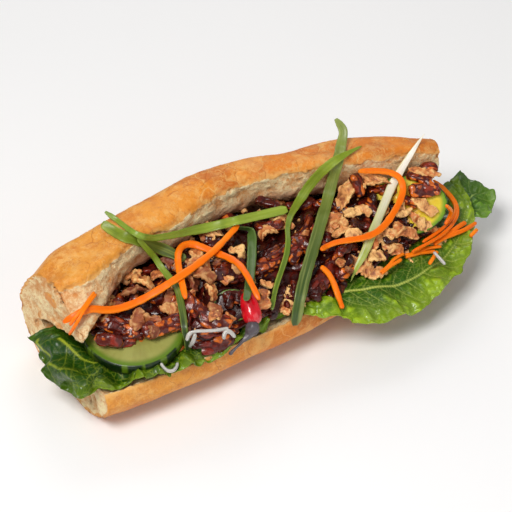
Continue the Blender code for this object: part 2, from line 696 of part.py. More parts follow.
STRIPS = (
    ("scallion_split", dict(
        points=[
            (-70, 20, 73), (-68, 17, 71), (-66, 9, 71), (-61, 6, 69), (-46, 5, 55), (-41, 2, 51),
            (-39, -3, 51),
        ],
        width=5.6, thick=0.8, rings=8)),
    ("scallion_thin", dict(
        points=[
            (-59, 6, 68), (-55, 5, 60), (-52, 3, 54), (-52, -4, 51), (-52, -11, 50), (-53, -18, 49),
            (-58, -30, 44), (-60, -34, 41), (-60, -36, 32), (-61, -37, 30),
        ],
        width=3.2, thick=0.8, rings=11)),
    ("scallion_bent", dict(
        points=[(-6, 2, 51), (-1, -1, 50), (-2, -5, 50), (-15, -23, 47), (-26, -35, 42)],
        width=4.3, thick=0.8, rings=8)),
    ("carrot_loop", dict(
        points=[
            (-52, -23, 48), (-50, -18, 50), (-41, 1, 51), (-35, 7, 50), (-31, 7, 50), (-29, 3, 52),
            (-27, -3, 51), (-24, -9, 51), (-19, -14, 49), (-18, -21, 48), (-20, -37, 41),
        ],
        width=3.5, thick=1.8, rings=14)),
    ("carrot_long", dict(
        points=[
            (-107, -5, 49), (-103, -10, 56), (-99, -11, 57), (-96, -11, 57), (-87, -10, 49),
            (-77, -13, 49), (-68, -13, 49), (-31, -8, 51), (-5, 2, 52),
        ],
        width=3.7, thick=1.8, rings=16)),
    ("carrot_fork", dict(
        points=[(-107, -9, 45), (-105, -12, 54), (-97, -10, 59), (-91, -7, 60)],
        width=2.6, thick=1.8, rings=6)),
    ("scallion_long", dict(
        points=[
            (-65, 25, 74), (-62, 20, 71), (-61, 12, 71), (-59, 7, 70), (-53, 5, 66), (-42, 5, 62),
            (-29, 8, 56), (-15, 8, 52), (22, -1, 51),
        ],
        width=5.2, thick=0.8, rings=16, taper=(0.45, 0.55, 0.7, 0.9, 1))),
    ("scallion_wide", dict(
        points=[
            (62, 14, 80), (63, 11, 78), (63, 9, 76), (59, 5, 71), (51, -3, 70), (46, -4, 55),
            (40, -9, 51), (32, -16, 50), (5, -38, 39), (-4, -46, 31), (-6, -47, 24),
        ],
        width=5.6, thick=0.8, rings=16, taper=(0.6, 0.95, 1, 1, 0.9))),
    ("scallion_arch", dict(
        points=[
            (67, -1, 70), (53, -2, 70), (44, -1, 66), (38, 1, 59), (31, 0, 53), (17, -9, 51),
            (7, -22, 47), (-10, -36, 41), (-16, -42, 36),
        ],
        width=5.2, thick=0.8, rings=16, taper=(0.2, 0.9, 0.95, 0.5, 0.5, 0.4))),
    ("leek", dict(
        points=[
            (98, -12, 71), (95, -12, 68), (86, -15, 63), (80, -15, 55), (73, -18, 51), (44, -37, 41),
            (33, -42, 34), (30, -43, 30),
        ],
        width=4.4, thick=0.9, rings=14, taper=(0.12, 0.7, 1, 1, 0.9, 0.12))),
    ("carrot_arc", dict(
        points=[
            (60, -8, 62), (72, -11, 59), (78, -13, 56), (80, -18, 55), (79, -22, 52), (76, -24, 49),
            (58, -32, 43), (50, -34, 44), (43, -32, 43), (31, -28, 45), (22, -29, 45),
        ],
        width=3.3, thick=1.8, rings=14)),
    ("carrot_short", dict(
        points=[(17, -36, 42), (19, -40, 40), (20, -45, 31), (17, -54, 28)],
        width=2.9, thick=1.8, rings=6)),
    ("carrot_bar", dict(
        points=[(112, -40, 26), (100, -42, 29), (81, -44, 30)],
        width=3.8, thick=1.8, rings=6, stiff=True)),
    ("carrot_rail", dict(
        points=[(82, -50, 31), (75, -49, 32), (68, -48, 33), (61, -47, 34)],
        width=2.6, thick=1.8, rings=6, stiff=True)),
    ("carrot_base", dict(
        points=[(64, -42, 30), (46, -46, 30)],
        width=2.6, thick=1.8, rings=6, stiff=True)),
    ("carrot_stub", dict(
        points=[(80, -48, 28), (71, -53, 28)],
        width=2.2, thick=1.8, rings=6, stiff=True)),
    ("carrot_curl", dict(
        points=[
            (103, -16, 41), (105, -19, 40), (109, -21, 34), (110, -25, 31), (108, -31, 30),
            (104, -34, 30), (89, -40, 30), (68, -42, 30),
        ],
        width=2.8, thick=1.8, rings=10)),
    ("carrot_hook", dict(
        points=[(91, -39, 46), (97, -37, 38), (97, -35, 32), (94, -36, 30)],
        width=2.0, thick=1.8, rings=6, stiff=True)),
    ("carrot_chip", dict(
        points=[(108, -46, 27), (102, -48, 27)],
        width=2.2, thick=1.8, rings=6, stiff=True)),
    ("noodle_long", dict(
        points=[(-61, -37, 37), (-60, -35, 40), (-58, -35, 41), (-49, -41, 39), (-41, -42, 38)],
        width=2.1, thick=1.6, rings=6, stiff=True)),
    ("noodle_hook", dict(
        points=[(-58, -35, 30), (-58, -39, 37), (-56, -37, 39)],
        width=2.0, thick=1.6, rings=4, stiff=True)),
    ("noodle_arch", dict(
        points=[(-47, -47, 38), (-46, -45, 40), (-43, -46, 41), (-42, -49, 38)],
        width=2.0, thick=1.6, rings=6, stiff=True)),
    ("noodle_loop", dict(
        points=[(-78, -41, 35), (-77, -41, 31), (-76, -44, 30), (-72, -45, 30), (-69, -41, 30)],
        width=1.9, thick=1.6, rings=6, stiff=True)),
    ("noodle_right", dict(
        points=[(78, -47, 28), (79, -55, 25)],
        width=2.0, thick=1.6, rings=6, stiff=True)),
)


# ---------------------------------------------------------------- the chilli
PODS = (
    ("chilli", dict(
        points=[(-25, -34, 46), (-27, -38, 45), (-29, -43, 42.5), (-30, -46, 40)],
        radii=(2.6, 3.3, 3.9, 3.2), sides=8, rings=7)),
    ("chilli_stalk", dict(
        points=[
            (-31, -47.4, 38.4), (-32, -48.2, 36.8), (-34, -48.6, 35), (-38, -49.4, 33.4),
            (-45.6, -49, 28.4),
        ],
        radii=(3.0, 2.5, 1.2, 0.8, 0.8), sides=6, rings=8)),
)


def pod_mesh(name, points, radii, sides, rings):
    """A round-sectioned body along points, its radius changing from one to the next."""
    spine = [Vector(p) for p in smooth_line(points, rings)]
    shape = bmesh.new()
    sections = []
    for i, spot in enumerate(spine):
        along = (spine[min(i + 1, rings - 1)] - spine[max(i - 1, 0)]).normalized()
        side = along.cross(Vector((0, 0, 1))).normalized()
        up = side.cross(along)
        radius = hermite(radii, list(range(len(radii))), (len(radii) - 1) * i / (rings - 1))
        ring = []
        for k in range(sides):
            a = math.tau * k / sides
            ring.append(shape.verts.new(spot + (side * math.cos(a) + up * math.sin(a)) * radius))
        sections.append(ring)
    for a, b in zip(sections, sections[1:]):
        for k in range(sides):
            m = (k + 1) % sides
            shape.faces.new((a[k], a[m], b[m], b[k]))
    shape.faces.new(sections[0][::-1])
    shape.faces.new(sections[-1])
    return mesh_from(shape, name)


# ---------------------------------------------------------------- assembly
def clear_scene():
    for thing in list(bpy.data.objects):
        bpy.data.objects.remove(thing, do_unlink=True)


def build():
    clear_scene()
    sandwich = bpy.data.collections.new("tempeh_sandwich")
    bpy.context.scene.collection.children.link(sandwich)
    bread = material("bread", (0.78, 0.45, 0.14), 0.55)
    leaf = material("lettuce", (0.13, 0.28, 0.04), 0.45)
    cucumber = material("cucumber", (0.55, 0.66, 0.25), 0.35)
    glaze = material("glazed_tempeh", (0.22, 0.06, 0.02), 0.25)
    finishes = {
        "carrot": material("carrot", (0.9, 0.25, 0.02), 0.4),
        "scallion": material("scallion", (0.25, 0.45, 0.06), 0.4),
        "leek": material("leek", (0.78, 0.8, 0.6), 0.4),
        "noodle": material("noodle", (0.75, 0.72, 0.66), 0.3),
        "chilli": material("chilli", (0.7, 0.01, 0.02), 0.15),
        "stalk": material("stalk", (0.06, 0.05, 0.05), 0.5),
    }
    below = Surroundings()
    below.add(add_object("baguette", loaf_mesh(), bread, sandwich).data)
    for name, sizes in LEAVES.items():
        below.add(add_object(name, leaf_mesh(name, **sizes), leaf, sandwich).data)
    for name, sizes in SLICES.items():
        below.add(add_object(name, mesh_from(slice_shape(**sizes), name), cucumber, sandwich).data)
    heap = heap_mesh(below, sandwich, glaze)
    below.add(heap.data)
    for name, sizes in PODS:
        finish = finishes["stalk" if name.endswith("stalk") else "chilli"]
        below.add(add_object(name, pod_mesh(name, **sizes), finish, sandwich).data)
    for name, sizes in STRIPS:
        finish = finishes[name.split("_")[0]]
        data = strip_mesh(name, below, **sizes)
        if data is None:
            print("left out, no room:", name)
            continue
        below.add(add_object(name, data, finish, sandwich).data)


build()
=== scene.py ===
"""A tempeh sandwich: an opened half baguette with lettuce, cucumber, glazed tempeh, crisp flakes and
shredded carrot, scallion and leek, a red chilli and a few sprouts.

Shapes are worked out in millimetres and written to meshes in metres, in the frame of the CAD model.
"""

import logging
import math
import random
from dataclasses import dataclass, field
from enum import Enum

import bmesh
import bpy
import numpy as np
from mathutils import Matrix, Vector
from mathutils.bvhtree import BVHTree
from mathutils.kdtree import KDTree


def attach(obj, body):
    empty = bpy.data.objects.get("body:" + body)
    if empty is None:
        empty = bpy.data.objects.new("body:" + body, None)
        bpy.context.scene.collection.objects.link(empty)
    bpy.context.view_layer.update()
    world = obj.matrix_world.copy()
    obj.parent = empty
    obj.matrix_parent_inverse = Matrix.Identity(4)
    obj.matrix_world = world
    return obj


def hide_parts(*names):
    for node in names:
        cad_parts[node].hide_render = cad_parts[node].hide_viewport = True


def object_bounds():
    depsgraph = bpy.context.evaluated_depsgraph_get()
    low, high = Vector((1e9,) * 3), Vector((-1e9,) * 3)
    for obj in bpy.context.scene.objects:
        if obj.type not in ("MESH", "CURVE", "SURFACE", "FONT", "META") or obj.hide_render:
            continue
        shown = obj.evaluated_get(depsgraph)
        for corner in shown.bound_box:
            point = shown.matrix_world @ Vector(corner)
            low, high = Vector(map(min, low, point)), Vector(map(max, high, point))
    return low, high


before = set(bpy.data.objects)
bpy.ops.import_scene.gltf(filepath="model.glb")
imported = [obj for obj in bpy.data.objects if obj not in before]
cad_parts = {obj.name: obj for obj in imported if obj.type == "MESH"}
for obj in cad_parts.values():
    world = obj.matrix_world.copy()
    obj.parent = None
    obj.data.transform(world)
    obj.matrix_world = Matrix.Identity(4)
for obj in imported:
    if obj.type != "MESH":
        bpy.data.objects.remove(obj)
CAD_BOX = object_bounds()

MM = 0.001
LOG = logging.getLogger("tempeh_sandwich")
Colour = tuple[float, float, float, float]


# ---------------------------------------------------------------- shared helpers
def tint(red: float, green: float, blue: float) -> Colour:
    """A colour from screen values of 0 to 255."""
    screen = (red / 255, green / 255, blue / 255)
    return (*(c / 12.92 if c <= 0.04045 else ((c + 0.055) / 1.055) ** 2.4 for c in screen), 1.0)


def hermite(values: list, knots: list, where: float) -> float:
    """A smooth value between knots, like a bent batten held at each of them.

    Args:
        values: The value at each knot.
        knots: Rising positions of the knots.
        where: The position asked for.

    Returns:
        The value there.
    """
    last = len(knots) - 1
    i = 0
    while i < last - 1 and where > knots[i + 1]:
        i += 1
    slopes = []
    for k in (i, i + 1):
        a, b = max(k - 1, 0), min(k + 1, last)
        slopes.append((values[b] - values[a]) / (knots[b] - knots[a]))
    span = knots[i + 1] - knots[i]
    t = min(max((where - knots[i]) / span, 0.0), 1.0)
    rise = 3 * t * t - 2 * t**3
    return (
        (1 - rise) * values[i]
        + (t**3 - 2 * t**2 + t) * span * slopes[0]
        + rise * values[i + 1]
        + (t**3 - t**2) * span * slopes[1]
    )


def smooth_line(points: list, count: int) -> np.ndarray:
    """Points on a smooth curve through the given ones.

    Args:
        points: Control points of any dimension.
        count: How many points to return.

    Returns:
        An array of count points.
    """
    knots = [0.0]
    for a, b in zip(points, points[1:]):
        knots.append(knots[-1] + math.sqrt(math.dist(a, b)))
    columns = [[p[axis] for p in points] for axis in range(len(points[0]))]
    steps = [knots[-1] * i / (count - 1) for i in range(count)]
    return np.array([[hermite(column, knots, s) for column in columns] for s in steps])


def ease(value: np.ndarray, low: float, high: float) -> np.ndarray:
    """Nought below low, one above high and a smooth step between."""
    t = np.clip((value - low) / (high - low), 0, 1)
    return t * t * (3 - 2 * t)


def arc_length(points: np.ndarray) -> np.ndarray:
    """Distance along a row of points from its first one."""
    return np.concatenate([[0], np.cumsum(np.linalg.norm(np.diff(points, axis=0), axis=1))])


class Grain:
    """Repeatable noise over points in millimetres."""

    def __init__(self, seed: int) -> None:
        """Keeps the seed."""
        self.seed = seed

    def scatter(self, cells: np.ndarray, salt: int) -> np.ndarray:
        """A value from 0 to 1 for each integer cell.

        Args:
            cells: Integer cells, one row each.
            salt: Picks another pattern from the same seed.

        Returns:
            One value for each cell.
        """
        c = cells.astype(np.int64).astype(np.uint32)
        start = np.uint32((self.seed * 7919 + salt * 104729) % 4294967296)
        h = c[..., 0] * np.uint32(374761393) + c[..., 1] * np.uint32(668265263)
        h = h + c[..., 2] * np.uint32(2246822519)
        h = h + start
        h = (h ^ (h >> np.uint32(13))) * np.uint32(1274126177)
        h = (h ^ (h >> np.uint32(16))) * np.uint32(2654435761)
        return (h ^ (h >> np.uint32(15))).astype(np.float64) / 4294967295.0

    def smooth(self, points: np.ndarray, size: float, salt: int = 0) -> np.ndarray:
        """Soft noise from -1 to 1 whose lumps are about size across.

        Args:
            points: Where to look.
            size: How wide a lump is.
            salt: Picks another pattern from the same seed.

        Returns:
            One value for each point.
        """
        spot = points / size
        base = np.floor(spot)
        t = spot - base
        t = t * t * (3 - 2 * t)
        total = np.zeros(len(points))
        for corner in range(8):
            step = np.array([corner & 1, corner >> 1 & 1, corner >> 2 & 1])
            weight = np.prod(np.where(step, t, 1 - t), axis=1)
            total += weight * self.scatter(base + step, salt)
        return 2 * total - 1

    def rough(self, points: np.ndarray, size: float, octaves: int = 3, salt: int = 0) -> np.ndarray:
        """Noise with finer and finer lumps added.

        Args:
            points: Where to look.
            size: How wide the coarsest lumps are.
            octaves: How many layers, each half as wide and half as strong.
            salt: Picks another pattern from the same seed.

        Returns:
            One value for each point.
        """
        total, share = np.zeros(len(points)), 1.0
        for k in range(octaves):
            total += share * self.smooth(points + 17.3 * k, size / 2**k, salt + k)
            share *= 0.5
        return total

    def cells(self, points: np.ndarray, size: float, salt: int = 0) -> tuple:
        """Scattered cells.

        Args:
            points: Where to look.
            size: Distance between cell centres.
            salt: Picks another pattern from the same seed.

        Returns:
            Distances to the nearest and second nearest centre as shares of size, and the
            nearest cell's own value from 0 to 1.
        """
        spot = points / size
        base = np.floor(spot)
        first = np.full(len(points), 9.0)
        second = np.full(len(points), 9.0)
        tone = np.zeros(len(points))
        for k in range(27):
            cell = base + np.array([k % 3 - 1, k // 3 % 3 - 1, k // 9 - 1])
            centre = cell + np.stack([self.scatter(cell, salt + s) for s in (11, 12, 13)], axis=1)
            reach = np.linalg.norm(spot - centre, axis=1)
            nearer = reach < first
            second = np.where(nearer, first, np.minimum(second, reach))
            tone = np.where(nearer, self.scatter(cell, salt + 14), tone)
            first = np.where(nearer, reach, first)
        return first, second, tone


def shape_mesh(name: str, points: np.ndarray, faces: list, marks: dict | None = None) -> bpy.types.Object:
    """A smooth-shaded object from points in millimetres.

    Args:
        name: The object's name.
        points: Its vertices.
        faces: Tuples of vertex numbers.
        marks: Named values or vectors for each vertex, for the finishes to read.

    Returns:
        The object, linked to the scene, with its place in its mesh.
    """
    data = bpy.data.meshes.new(name)
    data.from_pydata((np.asarray(points) * MM).tolist(), [], faces)
    for key, values in (marks or {}).items():
        values = np.asarray(values, dtype=np.float32)
        vector = values.ndim == 2
        store = data.attributes.new(key, "FLOAT_VECTOR" if vector else "FLOAT", "POINT")
        store.data.foreach_set("vector" if vector else "value", values.ravel())
    data.validate()
    data.shade_smooth()
    made = bpy.data.objects.new(name, data)
    bpy.context.scene.collection.objects.link(made)
    return made


def seal(made: bpy.types.Object, gap: float) -> None:
    """Merges doubled vertices of a closed shape and points its faces outwards.

    Args:
        made: The shape.
        gap: How close doubled vertices lie, in metres.
    """
    shape = bmesh.new()
    shape.from_mesh(made.data)
    bmesh.ops.remove_doubles(shape, verts=shape.verts, dist=gap)
    bmesh.ops.dissolve_degenerate(shape, dist=1e-7, edges=shape.edges)
    bmesh.ops.recalc_face_normals(shape, faces=shape.faces)
    shape.to_mesh(made.data)
    shape.free()
    made.data.shade_smooth()


def vertex_array(data: bpy.types.Mesh) -> np.ndarray:
    """A mesh's vertices in millimetres.

    Args:
        data: The mesh.

    Returns:
        One row for each vertex.
    """
    flat = np.zeros(len(data.vertices) * 3)
    data.vertices.foreach_get("co", flat)
    return flat.reshape(-1, 3) / MM


def normal_array(data: bpy.types.Mesh) -> np.ndarray:
    """A mesh's vertex normals.

    Args:
        data: The mesh.

    Returns:
        One row of unit length for each vertex.
    """
    flat = np.zeros(len(data.vertices) * 3, dtype=np.float32)
    data.vertex_normals.foreach_get("vector", flat)
    return flat.reshape(-1, 3).astype(np.float64)


def mark_array(data: bpy.types.Mesh, name: str) -> np.ndarray:
    """The values that a mesh keeps under a name.

    Args:
        data: The mesh.
        name: The mark's name.

    Returns:
        One value for each vertex.
    """
    flat = np.zeros(len(data.vertices), dtype=np.float32)
    data.attributes[name].data.foreach_get("value", flat)
    return flat.astype(np.float64)


def set_points(data: bpy.types.Mesh, points: np.ndarray) -> None:
    """Moves a mesh's vertices to points in millimetres."""
    data.vertices.foreach_set("co", (points * MM).ravel())
    data.update()


def merged_copy(node: str) -> bmesh.types.BMesh:
    """A CAD node's mesh in millimetres, its loose triangles joined.

    Args:
        node: The CAD node's name.

    Returns:
        The copy, which the caller frees.
    """
    shape = bmesh.new()
    shape.from_mesh(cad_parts[node].data)
    bmesh.ops.remove_doubles(shape, verts=shape.verts, dist=2e-6)
    bmesh.ops.scale(shape, vec=(1 / MM,) * 3, verts=shape.verts)
    return shape


def seat(made: bpy.types.Object, finish: "Finish", nodes: list) -> bpy.types.Object:
    """Dresses a piece, seats it on the object and hides the CAD nodes that it stands for.

    Args:
        made: The piece.
        finish: What it is dressed with.
        nodes: CAD nodes that it replaces.

    Returns:
        The piece.
    """
    made.data.materials.clear()
    made.data.materials.append(finish.material())
    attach(made, "root")
    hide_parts(*nodes)
    made.data.calc_loop_triangles()
    LOG.info("%s: %d triangles", made.name, len(made.data.loop_triangles))
    return made


# ---------------------------------------------------------------- node sheets
class Value:
    """A number on a node sheet that takes Python's operators."""

    def __init__(self, sheet: "NodeSheet", socket: bpy.types.NodeSocket) -> None:
        """Wraps an output socket."""
        self.sheet = sheet
        self.socket = socket

    def __add__(self, other: "Value | float") -> "Value":
        """The sum."""
        return self.sheet.math("ADD", self, other)

    def __sub__(self, other: "Value | float") -> "Value":
        """The difference."""
        return self.sheet.math("SUBTRACT", self, other)

    def __rsub__(self, other: "Value | float") -> "Value":
        """The difference, the other way round."""
        return self.sheet.math("SUBTRACT", other, self)

    def __mul__(self, other: "Value | float") -> "Value":
        """The product."""
        return self.sheet.math("MULTIPLY", self, other)

    def __truediv__(self, other: "Value | float") -> "Value":
        """The quotient."""
        return self.sheet.math("DIVIDE", self, other)

    def __rtruediv__(self, other: "Value | float") -> "Value":
        """The quotient, the other way round."""
        return self.sheet.math("DIVIDE", other, self)

    def __pow__(self, other: "Value | float") -> "Value":
        """The power."""
        return self.sheet.math("POWER", self, other)

    __radd__ = __add__
    __rmul__ = __mul__


class NodeSheet:
    """A node tree and the ways to add to it."""

    def __init__(self, tree: bpy.types.NodeTree) -> None:
        """Wraps the tree."""
        self.tree = tree

    def node(self, kind: str, settings: dict | None = None, sockets: dict | None = None) -> bpy.types.Node:
        """Adds a node.

        Args:
            kind: Its type.
            settings: Its own properties, set before its sockets.
            sockets: Numbers, colours, sockets or Values, by input name or number.

        Returns:
            The node.
        """
        made = self.tree.nodes.new(kind)
        for key, value in (settings or {}).items():
            setattr(made, key, value)
        for key, value in (sockets or {}).items():
            self.plug(made.inputs[key], value)
        return made

    def plug(self, socket: bpy.types.NodeSocket, value: object) -> None:
        """Links or sets one input.

        Args:
            socket: The input.
            value: A Value or socket to link, or what to set it to.
        """
        if isinstance(value, Value):
            value = value.socket
        if isinstance(value, bpy.types.NodeSocket):
            self.tree.links.new(value, socket)
        else:
            socket.default_value = value

    def math(self, operation: str, *terms: "Value | float") -> Value:
        """One Math node."""
        made = self.node("ShaderNodeMath", {"operation": operation}, dict(enumerate(terms)))
        return Value(self, made.outputs[0])

    def vector(self, operation: str, *terms: object) -> bpy.types.NodeSocket:
        """One Vector Math node that gives a vector."""
        return self.node("ShaderNodeVectorMath", {"operation": operation}, dict(enumerate(terms))).outputs[0]

    def split(self, vector: bpy.types.NodeSocket) -> tuple:
        """A vector's three numbers."""
        made = self.node("ShaderNodeSeparateXYZ", {}, {0: vector})
        return tuple(Value(self, out) for out in made.outputs)

    def join(self, x: object, y: object, z: object) -> bpy.types.NodeSocket:
        """A vector from three numbers."""
        return self.node("ShaderNodeCombineXYZ", {}, {0: x, 1: y, 2: z}).outputs[0]


class Sheet(NodeSheet):
    """A material's nodes round its one Principled shader."""

    def __init__(self, name: str) -> None:
        """Starts an empty material.

        Args:
            name: The material's name.
        """
        self.material = bpy.data.materials.new(name)
        self.material.use_nodes = True
        super().__init__(self.material.node_tree)
        self.shader = self.tree.nodes["Principled BSDF"]
        self.place = self.node("ShaderNodeTexCoord").outputs["Object"]

    def noise(self, size: float, detail: float = 3, rough: float = 0.55, twist: float = 0,
              place: object = None) -> Value:
        """Noise with lumps of a size in millimetres.

        Args:
            size: Across a lump.
            detail: How many finer layers.
            rough: How strong the finer layers are.
            twist: How far the noise bends itself.
            place: Coordinates other than the object's.

        Returns:
            A value round 0.5.
        """
        made = self.node("ShaderNodeTexNoise", {}, {
            "Vector": place or self.place, "Scale": 1 / (size * MM), "Detail": detail, "Roughness": rough,
            "Distortion": twist,
        })
        return Value(self, made.outputs[0])

    def cells(self, size: float, feature: str = "F1", place: object = None) -> Value:
        """A cell pattern with cells of a size in millimetres.

        Args:
            size: Across a cell.
            feature: What is measured, in the Voronoi node's own words.
            place: Coordinates other than the object's.

        Returns:
            The distance that the feature names.
        """
        sockets = {"Vector": place or self.place, "Scale": 1 / (size * MM)}
        made = self.node("ShaderNodeTexVoronoi", {"feature": feature}, sockets)
        return Value(self, made.outputs["Distance"])

    def bent(self, size: float, reach: float) -> bpy.types.NodeSocket:
        """The object's coordinates pushed about by noise, both in millimetres.

        Args:
            size: Across a wave of the noise.
            reach: How far it pushes.

        Returns:
            The bent coordinates.
        """
        sockets = {"Vector": self.place, "Scale": 1 / (size * MM), "Detail": 2}
        wave = self.node("ShaderNodeTexNoise", {}, sockets)
        centred = self.vector("SUBTRACT", wave.outputs["Color"], (0.5, 0.5, 0.5))
        sockets = {0: centred, "Scale": 2 * reach * MM}
        made = self.node("ShaderNodeVectorMath", {"operation": "SCALE"}, sockets)
        return self.vector("ADD", self.place, made.outputs[0])

    def ease(self, value: Value, low: float, high: float) -> Value:
        """Nought at low, one at high and a smooth step between.

        Args:
            value: What is eased.
            low: Where the step starts.
            high: Where it ends.

        Returns:
            The step.
        """
        made = self.node("ShaderNodeMapRange", {"interpolation_type": "SMOOTHSTEP"}, {
            "Value": value, "From Min": low, "From Max": high, "To Min": 0.0, "To Max": 1.0,
        })
        return Value(self, made.outputs[0])

    def mark(self, name: str) -> Value:
        """A number that the mesh keeps for each vertex."""
        return Value(self, self.node("ShaderNodeAttribute", {"attribute_name": name}).outputs["Fac"])

    def mark_vector(self, name: str) -> bpy.types.NodeSocket:
        """A vector that the mesh keeps for each vertex."""
        return self.node("ShaderNodeAttribute", {"attribute_name": name}).outputs["Vector"]

    def mix(self, factor: object, first: object, second: object) -> bpy.types.NodeSocket:
        """A colour from first to second as factor goes from nought to one.

        Args:
            factor: The share of the second colour.
            first: The colour at nought.
            second: The colour at one.

        Returns:
            The mixed colour.
        """
        made = self.node("ShaderNodeMix", {"data_type": "RGBA"}, {0: factor, 6: first, 7: second})
        return made.outputs[2]

    def bump(self, height: Value, reach: float, strength: float = 1.0) -> None:
        """Gives the shader a relief whose height of one stands reach millimetres high.

        Args:
            height: The relief.
            reach: How high one stands, in millimetres.
            strength: How strongly it shades.
        """
        sockets = {"Height": height, "Distance": reach * MM, "Strength": strength}
        made = self.node("ShaderNodeBump", {}, sockets)
        self.plug(self.shader.inputs["Normal"], made.outputs[0])

    def set(self, **values: object) -> None:
        """Sets or links the shader's sockets, named with underscores for spaces."""
        for key, value in values.items():
            self.plug(self.shader.inputs[key.replace("_", " ")], value)


class Graph(NodeSheet):
    """A Geometry Nodes tree with named inputs."""

    def __init__(self, name: str) -> None:
        """Starts a tree with a mesh in and a mesh out.

        Args:
            name: The tree's name.
        """
        super().__init__(bpy.data.node_groups.new(name, "GeometryNodeTree"))
        self.tree.interface.new_socket("Geometry", in_out="INPUT", socket_type="NodeSocketGeometry")
        self.tree.interface.new_socket("Geometry", in_out="OUTPUT", socket_type="NodeSocketGeometry")
        self.start = self.node("NodeGroupInput")
        self.end = self.node("NodeGroupOutput")

    def size(self, name: str, kind: str = "Float") -> Value:
        """A named input of the tree."""
        self.tree.interface.new_socket(name, in_out="INPUT", socket_type="NodeSocket" + kind)
        return Value(self, self.start.outputs[name])

    def close(self, shape: bpy.types.NodeSocket) -> None:
        """Ends the tree: instances made real, the finish set.

        Args:
            shape: The finished shape.
        """
        finish = self.size("Finish", "Material")
        real = self.node("GeometryNodeRealizeInstances", {}, {0: shape})
        dressed = self.node("GeometryNodeSetMaterial", {}, {"Geometry": real.outputs[0], "Material": finish})
        self.plug(self.end.inputs[0], dressed.outputs[0])

    def run(self, source: bpy.types.Object, name: str, **values: object) -> bpy.types.Object:
        """Runs the tree on a source object.

        Args:
            source: The object that carries the path or the surface; it is removed if its name
                starts with a dot.
            name: The new piece's name.
            **values: The tree's inputs, with underscores for spaces.

        Returns:
            A plain mesh object with the result.
        """
        modifier = source.modifiers.new(name, "NODES")
        modifier.node_group = self.tree
        for item in self.tree.interface.items_tree:
            key = item.name.replace(" ", "_")
            if item.in_out == "INPUT" and key in values:
                modifier[item.identifier] = values[key]
        bpy.context.view_layer.update()
        ready = source.evaluated_get(bpy.context.evaluated_depsgraph_get())
        data = bpy.data.meshes.new_from_object(ready)
        data.name = name
        source.modifiers.remove(modifier)
        if source.name.startswith("."):
            bpy.data.objects.remove(source, do_unlink=True)
        made = bpy.data.objects.new(name, data)
        bpy.context.scene.collection.objects.link(made)
        data.shade_smooth()
        return made


# ---------------------------------------------------------------- finishes
class Finish:
    """A finish that builds its material once."""

    made: dict = {}

    def material(self) -> bpy.types.Material:
        """The finish's material, built at first use.

        Returns:
            The material.
        """
        if self not in Finish.made:
            Finish.made[self] = self.build()
        return Finish.made[self]

    def build(self) -> bpy.types.Material:
        """Builds the material; each finish has its own way."""
        raise NotImplementedError


